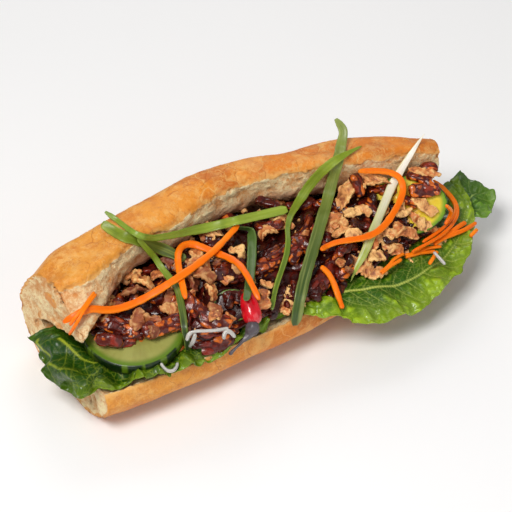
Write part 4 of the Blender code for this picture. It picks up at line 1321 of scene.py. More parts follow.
# ---------------------------------------------------------------- cucumber
@dataclass
class Slice:
    """A cucumber slice with a bevelled peel, its face turned to an azimuth and elevation."""

    name: str
    node: str
    centre: tuple
    facing: tuple
    radius: float
    squash: float
    thick: float
    seed: int
    finish: CucumberFinish = CucumberFinish()
    sides: int = 144
    face_rings: int = 26

    def build(self) -> bpy.types.Object:
        """Makes the disc from its middle, over the rim and back under, and dresses it.

        Returns:
            The finished piece.
        """
        rng = random.Random(self.seed)
        wobble = [rng.uniform(0, math.tau) for _ in range(2)]
        grain = Grain(self.seed + 80)
        profile = [(k / self.face_rings * 0.955, 0.5, 0.0) for k in range(1, self.face_rings + 1)]
        profile += [(0.975, 0.485, 0.3), (0.992, 0.44, 1), (1.0, 0.37, 1), (1.003, 0.2, 1), (1.004, 0, 1)]
        upper = [(0.0005, 0.5, 0.0)] + profile
        rows = upper + [(r, -z, s) for r, z, s in upper[-2::-1]]
        turns = np.linspace(0, math.tau, self.sides, endpoint=False)
        scale = 1 + 0.02 * np.sin(2 * turns + wobble[0]) + 0.012 * np.sin(3 * turns + wobble[1])
        discs, spots, sides = [], [], []
        for r, z, side in rows:
            x, y = r * np.cos(turns), r * np.sin(turns)
            discs.append(np.stack([x, y, np.full_like(x, z)], axis=1))
            reach = self.radius * scale
            level = np.full_like(x, z * self.thick)
            spots.append(np.stack([x * reach, self.squash * y * reach, level], axis=1))
            sides.append(np.full(self.sides, float(side)))
        disc, spot, side = np.vstack(discs), np.vstack(spots), np.concatenate(sides)
        out = np.linalg.norm(disc[:, :2], axis=1)
        face = (1 - side) * ease(-out, -0.9, -0.7)
        seeds = 1 - ease(grain.cells(spot * (1, 1, 0.2), 3.4, 2)[0], 0.12, 0.4)
        near_seeds = ease(-np.abs(out - 0.42), -0.26, -0.16)
        relief = face * (0.16 * grain.rough(spot, 4, 3, 1) - 0.25 * seeds * near_seeds)
        relief -= 0.3 * face * ease(-out, -0.5, -0.1)
        spot[:, 2] += np.sign(disc[:, 2]) * relief
        azimuth, elevation = (math.radians(a) for a in self.facing)
        right = np.array([math.cos(azimuth), math.sin(azimuth), 0])
        outwards = np.array([math.sin(azimuth) * math.cos(elevation), -math.cos(azimuth) * math.cos(elevation),
                             math.sin(elevation)])
        frame_of = np.stack([right, np.cross(outwards, right), outwards])
        points = spot @ frame_of + np.array(self.centre)
        faces, n = [], self.sides
        for k in range(len(rows) - 1):
            near, far = k * n, (k + 1) * n
            faces += [(near + j, near + (j + 1) % n, far + (j + 1) % n, far + j) for j in range(n)]
        faces += [tuple(range(n)), tuple(range((len(rows) - 1) * n, len(rows) * n))[::-1]]
        made = shape_mesh(self.name, points, faces, {"disc": disc, "side": side})
        seal(made, 1e-7)
        return seat(made, self.finish, [self.node])


# ---------------------------------------------------------------- the heap
class Form(Enum):
    """How a piece of the heap is shaped."""

    BAR = "bar"
    FLAKE = "flake"
    STICK = "stick"


@dataclass(frozen=True)
class Morsel:
    """One piece of the heap: its form, length, width and thickness, its own seed, tone and mesh step."""

    form: Form
    length: float
    width: float
    height: float
    seed: int
    tone: float
    step: float = 0.5

    def mesh(self) -> tuple:
        """Points round the origin with the length along X, faces, and the bean and tone marks.

        Returns:
            The points, the faces and the two marks.
        """
        rng = random.Random(self.seed)
        grain = Grain(self.seed)
        bar = self.form is Form.BAR
        rings, around = self.counts()
        s = np.linspace(0, 1, rings)
        ends = np.maximum(1 - np.abs(2 * s - 1) ** (7 if bar else 5), 0.0) ** 0.5
        ends[0] = ends[-1] = 0.02
        turn = np.linspace(0, math.tau, around, endpoint=False)
        square = 0.62 if bar else 0.55
        cy = np.sign(np.cos(turn)) * np.abs(np.cos(turn)) ** square
        cz = np.sign(np.sin(turn)) * np.abs(np.sin(turn)) ** square
        spot = np.zeros((rings, around, 3))
        spot[..., 0] = (self.length * (s - 0.5))[:, None]
        spot[..., 1] = 0.5 * self.width * ends[:, None] * cy
        spot[..., 2] = 0.5 * self.height * ends[:, None] * cz
        flat = spot.reshape(-1, 3)
        own = flat + self.seed * 3.1
        flat, lift, tone = self.beans(flat, own, grain) if bar else self.crumple(flat, own, grain)
        t = flat[:, 0] / self.length
        flat[:, 1] += rng.uniform(-0.1, 0.1) * (1 if bar else 1.8) * self.length * (1 - 4 * t * t)
        sag = rng.uniform(-0.06, 0.03) if bar else rng.uniform(-0.24, 0.06)
        flat[:, 2] += sag * self.length * (4 * t * t - 0.5)
        twist = rng.uniform(-0.6, 0.6) * t * (1.0 if bar else 2.2)
        y, z = flat[:, 1].copy(), flat[:, 2].copy()
        flat[:, 1], flat[:, 2] = y * np.cos(twist) - z * np.sin(twist), y * np.sin(twist) + z * np.cos(twist)
        n = around
        faces = [
            (k * n + j, (k + 1) * n + j, (k + 1) * n + (j + 1) % n, k * n + (j + 1) % n)
            for k in range(rings - 1) for j in range(n)
        ]
        faces += [tuple(range(n)), tuple(range((rings - 1) * n, rings * n))[::-1]]
        return flat, faces, lift, tone

    def counts(self) -> tuple:
        """Rings along and points around, by size.

        Returns:
            The two counts.
        """
        rings = int(min(max(self.length / self.step, 9), 84))
        around = int(min(max(1.55 * (self.width + self.height) / self.step, 12), 44))
        return rings, around

    def beans(self, flat: np.ndarray, own: np.ndarray, grain: Grain) -> tuple:
        """Presses a bar together from beans: flat sides with low domes, broken corners and dents.

        Args:
            flat: The plain bar.
            own: Where its noise is read.
            grain: The noise.

        Returns:
            The new points and the bean and tone marks.
        """
        out = flat * (0.0, 1.0, 1.0)
        reach = np.maximum(np.linalg.norm(out, axis=1), 1e-6)
        first, second, tone = grain.cells(own * (0.62, 1, 1) + 0.5 * grain.smooth(own, 4, 2)[:, None], 3.3, 1)
        seam = ease(second - first, 0.02, 0.4)
        dome = seam * np.clip(1.1 - 1.1 * first**2, 0, 1)
        lump = 1.2 * grain.smooth(own, 7, 4) + 0.6 * grain.rough(own, 3, 2, 7)
        broken = -0.9 * ease(grain.smooth(own, 5, 9), 0.35, 0.8)
        swell = 0.55 * dome + 0.5 * (tone - 0.5) - 0.42 + lump * 0.5 + broken
        share = np.clip(reach / (0.4 * self.height), 0.1, 1)
        moved = flat + out / reach[:, None] * (swell * share)[:, None]
        moved[:, 0] += 0.5 * swell * np.sign(flat[:, 0]) * (np.abs(flat[:, 0]) > 0.42 * self.length)
        return moved, dome, tone

    def crumple(self, flat: np.ndarray, own: np.ndarray, grain: Grain) -> tuple:
        """Tears a flake's outline, folds it and breaks its faces into crags.

        Args:
            flat: The plain slab.
            own: Where its noise is read.
            grain: The noise.

        Returns:
            The new points and the relief and tone marks.
        """
        wide = flat.copy()
        bite = grain.cells(own * (1, 0.4, 0.0), 2.9, 21)[2] - 0.5
        wide[:, 1] *= 1 + 0.34 * grain.rough(own * (1, 0, 0) + 4, 3.2, 3, 3) + 0.4 * bite
        wide[:, 0] *= 1 + 0.2 * grain.rough(own * (0, 1, 0.0) + 9, 2.4, 3, 5)
        fold = 1 - 2.2 * np.abs(grain.smooth(own * (1, 1, 0), 4.6, 6))
        wave = 0.65 * fold + 0.55 * grain.rough(own * (1, 1, 0), 3.0, 3, 7)
        wide[:, 2] += 0.16 * self.width * wave
        first, second, tone = grain.cells(own, 2.1, 9)
        crag = ease(second - first, 0.0, 0.4)
        fine = grain.rough(own, 1.1, 2, 12)
        side = np.sign(flat[:, 2])
        out = side[:, None] * np.array([[0, 0, 1.0]]) + flat * (0.06, 0.16, 0)
        moved = wide + out * (0.5 * crag + 0.55 * (tone - 0.5) + 0.22 * fine - 0.3)[:, None]
        brink = ease(np.abs(flat[:, 1]) / (0.5 * self.width), 0.55, 0.95)
        lift = 0.3 + 0.3 * wave * side + 0.3 * crag + 0.35 * (tone - 0.5) + 0.25 * fine + 0.3 * brink
        return moved, np.clip(lift, 0, 1), tone


class Pile:
    """Morsels gathered into one mesh."""

    def __init__(self, name: str) -> None:
        """Starts an empty pile.

        Args:
            name: The piece's name.
        """
        self.name = name
        self.points, self.faces, self.lift, self.tone, self.piece = [], [], [], [], []
        self.count = 0

    def add(self, points: np.ndarray, faces: list, lift: np.ndarray, tone: np.ndarray, piece: float) -> None:
        """Takes in one placed morsel.

        Args:
            points: Its placed vertices.
            faces: Its faces.
            lift: Its bean or relief mark.
            tone: Its tone mark.
            piece: Its own tone as a whole.
        """
        start = sum(len(p) for p in self.points)
        self.points.append(points)
        self.faces += [tuple(k + start for k in face) for face in faces]
        self.lift.append(lift)
        self.tone.append(tone)
        self.piece.append(np.full(len(points), piece))
        self.count += 1

    def build(self, finish: Finish, slot: str) -> bpy.types.Object:
        """Makes the pile one piece and dresses it.

        Args:
            finish: What it is dressed with.
            slot: Not used.

        Returns:
            The finished piece.
        """
        marks = {"bean": np.concatenate(self.lift), "tone": np.concatenate(self.tone),
                 "piece": np.concatenate(self.piece)}
        made = shape_mesh(self.name, np.vstack(self.points), self.faces, marks)
        shape = bmesh.new()
        shape.from_mesh(made.data)
        bmesh.ops.recalc_face_normals(shape, faces=shape.faces)
        shape.to_mesh(made.data)
        shape.free()
        LOG.info("%s holds %d morsels", self.name, self.count)
        return seat(made, finish, ["tempeh_heap"])


@dataclass
class Heap:
    """The glazed filling: a core of packed tempeh with bars, crisp flakes and crumbs heaped on it.

    Attributes:
        bars: Tempeh bars, each from one end point to the other, and its width.
        flakes: Flakes that lie flat, each by x, y, length, width and turn in degrees.
        curls: Flakes that stand or hang, each from one end point to the other, and its width.
        curled_sticks: Which of the curls are narrow sticks.
        core_drop: How far the core is set back from the surface of the CAD heap.
        core_knit: Size of the core's mesh.
        fill_bars: How many smaller bars pack the gaps.
        fill_flakes: How many smaller flakes are strewn.
        fill_gap: Least distance between two of their seats.
        bare_right: Past this x no small flakes are strewn.
        crumb_density: Crumbs on each square metre.
        crumb_sizes: Radius of the smallest and the largest crumb.
        seed: Picks the strewn pieces.
        sight: The direction from which the shreds must stay in view.
        showing: The way that the heap's open side faces.
    """

    bars: tuple = (
        (-91, -7, 43, -77, -25, 39, 8.2), (-78, -26, 43, -57, -30, 43, 7.9),
        (-73, -30, 38, -61, -38, 31, 9.0), (-53, -24, 49, -41, -43, 40, 9.4),
        (-59, -37, 31, -38, -42, 31, 7.5), (-86, 8, 41, -74, 2, 45, 5.5),
        (-56, -38, 39, -35, -40, 32, 4.7), (-91, -23, 38, -82, -25, 38, 3.1),
        (-31, -20, 50, -16, -20, 47, 11.1), (-17, -21, 47, 33, -12, 49, 8.3),
        (1, -45, 33, 34, -36, 43, 9.0), (-17, -43, 31, -7, -37, 38, 4.8), (16, -19, 48, 17, -27, 45, 5.5),
        (45, -9, 51, 46, -18, 48, 4.6), (-5, -22, 49, 14, -19, 48, 4.4), (5, -28, 45, 13, -24, 46, 4.4),
        (28, -16, 50, 25, -30, 44, 4.8), (13, -50, 31, 29, -43, 33, 6.4),
        (83, -18, 56, 91, -27, 53, 6.2), (80, -24, 51, 93, -31, 52, 7.2), (88, -26, 55, 92, -33, 50, 4.6),
        (58, -14, 50, 59, -26, 47, 5.6), (45, -25, 50, 55, -28, 45, 5.4), (30, -34, 43, 43, -29, 44, 6.0),
        (23, -43, 37, 34, -40, 37, 6.2), (76, -25, 48, 80, -30, 46, 4.2), (67, -14, 51, 73, -14, 54, 5.2),
        (10, 9, 55, 18, 0, 54, 5.2), (-9, 8, 54, -8, 3, 53, 4.4), (57, -9, 62, 58, -15, 53, 6.4),
        (90, -19, 56, 98, -23, 57, 4.2), (65, -11, 55, 76, -20, 54, 6.2), (36, -4, 51, 50, -13, 50, 5.4),
        (-66, -16, 50, -54, -9, 50, 5.2), (-48, -3, 50, -36, -12, 50, 5.0), (2, -2, 51, 14, -9, 51, 5.6),
        (-24, 4, 51, -12, -4, 51, 5.4), (24, 2, 52, 38, -1, 52, 5.2), (-34, -30, 46, -20, -33, 43, 6.4),
    )
    flakes: tuple = (
        (-70, 5, 9, 5, -28), (-76, 2, 7, 3, -46), (-67, -6, 10, 5, -56), (-72, -9, 10, 3, -18),
        (-77, -18, 9, 6, 51), (-69, -20, 10, 5, -42), (-46, 1, 8, 5, -75), (-59, -17, 10, 8, 50),
        (-62, -23, 11, 5, -28), (-47, -16, 10, 5, 53), (-36, -10, 11, 7, -20), (-38, -17, 11, 6, -75),
        (-42, -23, 7, 5, -94), (-57, -33, 5, 5, -35), (-76, -30, 5, 5, 50), (-71, -25, 8, 3, -97),
        (-45, -34, 8, 5, -110), (-18, 3, 8, 6, 17), (-9, -2, 6, 4, -6), (14, -4, 9, 7, -64),
        (4, -12, 9, 5, 0), (-11, -29, 9, 3, -20), (-3, -39, 11, 10, 25), (-9, -42, 7, 6, -75),
        (-18, -37, 10, 5, 48), (37, -19, 11, 8, -88), (38, -24, 11, 3, -9), (25, -40, 8, 4, -109),
        (-17, 9, 7, 5, -60), (-82, -4, 8, 4, 30), (-55, -3, 8, 4, -10), (-25, -12, 7, 4, 40),
        (-85, 3, 6, 4, 70), (-64, 1, 8, 4, 15), (-80, -10, 7, 4, -60), (-51, -9, 8, 5, 25),
        (-65, -14, 7, 4, 80), (-50, -24, 7, 4, -15), (-41, -6, 8, 5, 60), (-33, -2, 7, 4, -50),
        (-30, -22, 7, 5, 20), (-14, -10, 7, 4, 75),
    )
    curls: tuple = (
        (44, -13, 51, 73, -15, 56, 7.4), (76, -31, 44, 88, -41, 33, 3.6), (79, -28, 49, 86, -38, 43, 4.6),
        (77, -36, 41, 85, -38, 36, 5.4), (66, -29, 47, 76, -30, 45, 3.2), (64, -33, 44, 68, -38, 41, 4.2),
        (50, -35, 44, 62, -41, 36, 8.8), (62, -38, 43, 72, -40, 37, 4.8), (64, -42, 35, 63, -49, 30, 2.6),
        (31, -40, 43, 44, -50, 32, 7.0), (42, -42, 38, 52, -41, 35, 5.5), (43, -19, 50, 52, -21, 49, 4.4),
        (51, -18, 50, 55, -25, 48, 3.2), (36, -25, 48, 44, -26, 47, 2.6), (73, -26, 49, 71, -31, 47, 3.6),
        (39, -22, 51, 40, -26, 49, 3.6), (81, -44, 31, 93, -44, 30, 2.6), (56, -34, 43, 60, -39, 41, 4.2),
        (85, -18, 58, 96, -28, 56, 3.8), (50, -29, 46, 59, -32, 46, 5.2), (45, -30, 47, 53, -34, 45, 5.4),
        (54, -40, 40, 62, -45, 36, 5.4), (58, -38, 42, 66, -35, 44, 4.4), (44, -36, 43, 51, -38, 43, 5.0),
        (60, -26, 48, 68, -24, 49, 4.6), (36, -31, 46, 44, -33, 45, 5.0), (40, -46, 34, 50, -47, 32, 5.4),
    )
    curled_sticks: tuple = (1, 4, 8, 13, 18)
    core_drop: float = 3.2
    core_knit: float = 1.15
    fill_bars: int = 120
    fill_flakes: int = 52
    fill_gap: float = 4.2
    bare_right: float = 64.0
    crumb_density: float = 21000.0
    crumb_sizes: tuple = (0.3, 0.95)
    seed: int = 5
    sight: Vector = field(default_factory=lambda: Vector((-0.426, -0.609, 0.669)).normalized())
    showing: Vector = field(default_factory=lambda: Vector((-0.35, -0.5, 0.8)))

    def core(self) -> bpy.types.Object:
        """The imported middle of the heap, set back a little from the CAD heap's own surface.

        Returns:
            The undressed core.
        """
        shape = merged_copy("tempeh_heap")
        data = bpy.data.meshes.new("heap_core")
        bmesh.ops.scale(shape, vec=(MM,) * 3, verts=shape.verts)
        shape.to_mesh(data)
        shape.free()
        made = bpy.data.objects.new("heap_core", data)
        bpy.context.scene.collection.objects.link(made)
        knit = made.modifiers.new("knit", "REMESH")
        knit.mode, knit.voxel_size = "VOXEL", self.core_knit * MM
        ease_off = made.modifiers.new("ease", "SMOOTH")
        ease_off.iterations, ease_off.factor = 4, 0.5
        bpy.context.view_layer.update()
        ready = made.evaluated_get(bpy.context.evaluated_depsgraph_get())
        made.data = bpy.data.meshes.new_from_object(ready)
        made.modifiers.clear()
        made.data.name = "heap_core"
        points, normals = vertex_array(made.data), normal_array(made.data)
        grain = Grain(71)
        first, _, tone = grain.cells(points * (0.8, 1, 1), 3.6, 2)
        dome = np.clip(1 - 1.6 * first**2, 0, 1)
        showing = ease(normals[:, 2], -0.2, 0.3)
        out = -self.core_drop * showing + (1.0 * dome - 0.5 + 0.9 * grain.rough(points, 8, 3, 9)) * showing
        set_points(made.data, points + normals * out[:, None])
        marks = {"bean": dome, "tone": tone, "piece": 0.25 + 0.2 * grain.smooth(points, 9, 4)}
        for name, values in marks.items():
            store = made.data.attributes.new(name, "FLOAT", "POINT")
            store.data.foreach_set("value", values.astype(np.float32))
        made.data.shade_smooth()
        return made

    def place(self, morsel: Morsel, turn: np.ndarray, spot: Vector, up: Vector, tree: BVHTree, pile: Pile,
              must: bool) -> bool:
        """Lays a morsel on the heap, sinking it until it clears the shreds above.

        Args:
            morsel: What to lay down.
            turn: Its length, width and height directions, as columns.
            spot: Where its middle goes.
            up: Which way is out of the heap there.
            tree: The shreds that must stay clear.
            pile: Where it goes.
            must: Whether it is laid even if it can't clear them.

        Returns:
            Whether it was laid.
        """
        points, faces, lift, tone = morsel.mesh()
        drops = (0.0, 0.8, 1.6, 2.4, 3.4, 4.4, 5.4) if must else (0.0, 0.8, 1.6, 2.4)
        for drop in drops:
            placed = points @ turn.T + np.array(spot - up * drop)
            probes = [Vector(p) for p in placed[::9]]
            near = [tree.find_nearest(p, 1.6) for p in probes]
            close = min((hit[3] for hit in near if hit[0] is not None), default=9.0)
            hidden = sum(tree.ray_cast(p, -self.sight, 16)[0] is not None for p in probes) / len(probes)
            if (close > 0.35 and hidden < 0.04) or (must and drop == drops[-1]):
                pile.add(placed, faces, lift, tone, morsel.tone)
                return True
        return False

    def strewn(self, morsel: Morsel, point: Vector, normal: Vector, yaw: float, stand: float, tree: BVHTree,
               pile: Pile, must: bool) -> bool:
        """Lays a morsel flat on the surface, turned by yaw degrees, its middle standing off it.

        Args:
            morsel: What to lay down.
            point: Where on the surface.
            normal: Which way is out of the heap there.
            yaw: Its turn about that direction in degrees.
            stand: How far its middle stands off.
            tree: The shreds that must stay clear.
            pile: Where it goes.
            must: Whether it is laid even if it can't clear them.

        Returns:
            Whether it was laid.
        """
        lean = Vector((0, 0, 1)).rotation_difference(normal).to_matrix()
        turn = np.array(lean @ Matrix.Rotation(math.radians(yaw), 3, "Z"))
        return self.place(morsel, turn, point + normal * stand, normal, tree, pile, must)

    def stretched(self, morsel: Morsel, row: tuple, surface: BVHTree, stand: float, tree: BVHTree,
                  pile: Pile) -> bool:
        """Lays a morsel from one end point to the other, its broad side out of the heap.

        Args:
            morsel: What to lay down.
            row: Its two end points and its width.
            surface: The core's surface.
            stand: How far its middle stands off the line.
            tree: The shreds that must stay clear.
            pile: Where it goes.

        Returns:
            Whether it was laid.
        """
        start, end = Vector(row[:3]), Vector(row[3:6])
        middle = (start + end) / 2
        normal = surface.find_nearest(middle)[1]
        out = (self.gentle(normal) + self.sight).normalized()
        along = (end - start).normalized()
        side = out.cross(along).normalized()
        up = along.cross(side)
        turn = np.array([along, side, up]).T
        return self.place(morsel, turn, middle + up * stand, up, tree, pile, True)

    def build(self) -> list:
        """Makes the core, then heaps on the bars, the flakes and the crumbs.

        Returns:
            The finished pieces.
        """
        core = self.core()
        shape = bmesh.new()
        shape.from_mesh(core.data)
        bmesh.ops.scale(shape, vec=(1 / MM,) * 3, verts=shape.verts)
        surface = BVHTree.FromBMesh(shape)
        rng = random.Random(self.seed)
        spots = self.spread(shape, rng)
        shape.free()
        shreds = self.shreds_above()
        bars, filling, flakes = Pile("tempeh_bars"), Pile("tempeh_packing"), Pile("crisp_flakes")
        self.lay_bars(surface, shreds, rng, bars)
        self.lay_flakes(surface, shreds, rng, flakes)
        self.fill(spots, shreds, rng, filling, flakes)
        made = [seat(core, TempehFinish("packed_tempeh", bare=0.8), ["tempeh_heap"])]
        made.append(bars.build(TempehFinish(), "glazed_tempeh"))
        made.append(filling.build(TempehFinish("darker_tempeh", bare=0.62), "glazed_tempeh"))
        made.append(flakes.build(CrispFinish(), "glazed_tempeh"))
        made.append(self.crumbs(core))
        return made

    def lay_bars(self, surface: BVHTree, shreds: BVHTree, rng: random.Random, pile: Pile) -> None:
        """Lays the large tempeh bars, warmer towards both ends of the loaf.

        Args:
            surface: The core.
            shreds: The shreds that must stay clear.
            rng: Source of the tones.
            pile: Where the bars go.
        """
        for k, row in enumerate(self.bars):
            length, width = math.dist(row[:3], row[3:6]) + 1.5, row[6]
            tone = rng.uniform(0.7, 1.0) if row[0] < -50 or row[0] > 75 else rng.uniform(0.2, 0.75)
            morsel = Morsel(Form.BAR, length, 1.04 * width, 0.55 * width + 1.4, 300 + k, tone, 0.48)
            self.stretched(morsel, row, surface, 0.1 * width, shreds, pile)

    def lay_flakes(self, surface: BVHTree, shreds: BVHTree, rng: random.Random, pile: Pile) -> None:
        """Lays the large crisp flakes, first the flat ones and then the curled ones.

        Args:
            surface: The core.
            shreds: The shreds that must stay clear.
            rng: Source of the tones.
            pile: Where the flakes go.
        """
        for k, (x, y, length, width, yaw) in enumerate(self.flakes):
            point, normal = self.drop(surface, x, y)
            form = Form.STICK if length > 2.6 * width else Form.FLAKE
            morsel = Morsel(form, 1.12 * length, 1.2 * width, 2.5, 500 + k, self.flake_tone(x, rng), 0.45)
            self.strewn(morsel, point, normal, yaw, self.core_drop + 1.6, shreds, pile, True)
        for k, row in enumerate(self.curls):
            form = Form.STICK if k in self.curled_sticks else Form.FLAKE
            length = math.dist(row[:3], row[3:6]) + 1.0
            morsel = Morsel(form, length, 1.1 * row[6], 2.4, 600 + k, self.flake_tone(row[0], rng), 0.45)
            self.stretched(morsel, row, surface, 0.6, shreds, pile)

    def fill(self, spots: list, shreds: BVHTree, rng: random.Random, bars: Pile, flakes: Pile) -> None:
        """Packs small bars into the gaps and strews small flakes over them.

        Args:
            spots: Seats on the core, each a point and its way up.
            shreds: The shreds that must stay clear.
            rng: Source of the sizes, turns and tones.
            bars: Where the bars go.
            flakes: Where the flakes go.
        """
        for k in range(self.fill_bars):
            point, normal = spots[k]
            warm = 0.4 if point.x < -45 else 0.0
            length, width, height = rng.uniform(8, 17), rng.uniform(4, 6.5), rng.uniform(3, 4.8)
            morsel = Morsel(Form.BAR, length, width, height, 700 + k, warm + rng.uniform(0.0, 0.6), 0.72)
            yaw, stand = rng.uniform(-60, 60), rng.uniform(0.4, 2.6)
            self.strewn(morsel, point, normal, yaw, stand, shreds, bars, False)
        for k in range(self.fill_flakes):
            point, normal = spots[-1 - k]
            if point.x > self.bare_right:
                continue
            length, width, height = rng.uniform(3.5, 7), rng.uniform(2.5, 4.5), rng.uniform(1.8, 2.8)
            morsel = Morsel(Form.FLAKE, length, width, height, 900 + k, self.flake_tone(point.x, rng), 0.5)
            yaw, stand = rng.uniform(-90, 90), rng.uniform(3.4, 5.0)
            self.strewn(morsel, point, normal, yaw, stand, shreds, flakes, False)

    @staticmethod
    def flake_tone(x: float, rng: random.Random) -> float:
        """Paler gold to the right and in the middle, browner to the left.

        Args:
            x: Where the flake lies along the loaf.
            rng: Source of the spread.

        Returns:
            The tone, from nought to one.
        """
        return rng.uniform(0.45, 1.0) if x > 30 or -20 < x < 16 else rng.uniform(0.05, 0.65)

    def drop(self, surface: BVHTree, x: float, y: float) -> tuple:
        """Where a plumb line at (x, y) meets the heap, and which way is up there, gently limited.

        Args:
            surface: The core's surface.
            x: Along the loaf.
            y: Across it.

        Returns:
            The point and the direction.
        """
        point, normal, _, _ = surface.ray_cast(Vector((x, y, 90)), Vector((0, 0, -1)))
        if point is None:
            point, normal, _, _ = surface.find_nearest(Vector((x, y, 42)))
        return point, self.gentle(normal)

    def gentle(self, normal: Vector, limit: float = 0.8) -> Vector:
        """The normal with its lean held back.

        Args:
            normal: The surface's direction.
            limit: The longest level part that it may keep.

        Returns:
            The direction to build on.
        """
        flat = Vector((normal.x, normal.y, 0))
        if flat.length > limit or normal.z < 0.2:
            return (flat.normalized() * limit + Vector((0, 0, 1 - limit * 0.5))).normalized()
        return normal

    def spread(self, shape: bmesh.types.BMesh, rng: random.Random) -> list:
        """Evenly scattered seats on the showing side of the core.

        Args:
            shape: The core's mesh in millimetres.
            rng: Source of the scatter.

        Returns:
            Tuples of a place and the way out of the heap there.
        """
        faces = [f for f in shape.faces if f.normal.z > -0.05 and f.normal.dot(self.showing) > 0.05]
        rng.shuffle(faces)
        kept = []
        for face in faces:
            middle = face.calc_center_median()
            if all((middle - point).length > self.fill_gap for point, _ in kept):
                kept.append((middle, self.gentle(face.normal.copy())))
            if len(kept) >= self.fill_bars + self.fill_flakes + 60:
                break
        rng.shuffle(kept)
        return (kept * 3)[: self.fill_bars + self.fill_flakes + 1]

    def shreds_above(self) -> BVHTree:
        """Every thin CAD node that lies on the heap, as one surface in millimetres.

        Returns:
            Their search tree.
        """
        points, faces = [], []
        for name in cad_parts:
            if name.split("_")[0] in ("carrot", "scallion", "leek", "noodle", "chilli"):
                shape = merged_copy(name)
                shape.verts.ensure_lookup_table()
                start = len(points)
                points += [v.co.copy() for v in shape.verts]
                faces += [[v.index + start for v in f.verts] for f in shape.faces]
                shape.free()
        return BVHTree.FromPolygons(points, faces)

    def crumbs(self, core: bpy.types.Object) -> bpy.types.Object:
        """Fine crisp crumbs strewn over the heap with Geometry Nodes.

        Args:
            core: The core that carries them.

        Returns:
            The finished piece.
        """
        grain = Grain(91)
        shape = bmesh.new()
        bmesh.ops.create_icosphere(shape, subdivisions=2, radius=1.0)
        points = np.array([v.co for v in shape.verts])
        lumpy = points * (1 + 0.3 * grain.rough(points, 0.9, 2))[:, None] * (1.2, 0.9, 0.7)
        faces = [tuple(v.index for v in f.verts) for f in shape.faces]
        shape.free()
        marks = {"bean": np.full(len(points), 0.6), "tone": np.full(len(points), 0.5),
                 "piece": np.full(len(points), 0.8)}
        crumb = shape_mesh("crumb_source", lumpy, faces, marks)
        graph = Graph("strew")
        shape_in = graph.start.outputs["Geometry"]
        density, small, large = graph.size("Density"), graph.size("Smallest"), graph.size("Largest")
        seed, source = graph.size("Seed", "Int"), graph.size("Crumb", "Object")
        up = graph.split(graph.node("GeometryNodeInputNormal").outputs[0])[2]
        above = graph.node("FunctionNodeCompare", {"operation": "GREATER_THAN"}, {0: up, 1: 0.15}).outputs[0]
        strewn = graph.node("GeometryNodeDistributePointsOnFaces", {},
                            {"Mesh": shape_in, "Selection": above, "Density": density, "Seed": seed})
        sockets = {2: small, 3: large, "Seed": seed}
        size = graph.node("FunctionNodeRandomValue", {"data_type": "FLOAT"}, sockets)
        spin = graph.node("FunctionNodeRandomValue", {"data_type": "FLOAT_VECTOR"},
                          {0: (0, 0, 0), 1: (6.28, 6.28, 6.28), "Seed": seed})
        laid = graph.node("GeometryNodeInstanceOnPoints", {}, {
            "Points": strewn.outputs["Points"],
            "Instance": graph.node("GeometryNodeObjectInfo", {}, {"Object": source}).outputs["Geometry"],
            "Rotation": spin.outputs[0], "Scale": size.outputs[1],
        })
        graph.close(laid.outputs[0])
        finish = CrispFinish()
        smallest, largest = self.crumb_sizes
        made = graph.run(core, "crisp_crumbs", Density=self.crumb_density, Smallest=smallest, Largest=largest,
                         Seed=4, Crumb=crumb, Finish=finish.material())
        bpy.data.objects.remove(crumb, do_unlink=True)
        return seat(made, finish, ["tempeh_heap"])


# ---------------------------------------------------------------- shreds
@dataclass(frozen=True)
class Cut:
    """How a kind of shred is cut.

    Attributes:
        square: Its section, from near 0 for a box to 1 for an oval.
        gutter: How far its sides curl up, as a share of its half width.
        ribs: How closely ridges lie across it.
        rib_height: Their height.
        point: How far its ends run to a point, from 0 to 1.
        wobble: How uneven it is.
        grow: How much larger it is made than the strip.
        relax: How many times its path is eased.
    """

    square: float
    gutter: float
    ribs: float
    rib_height: float
    point: float
    wobble: float
    grow: float = 1.0
    relax: int = 0


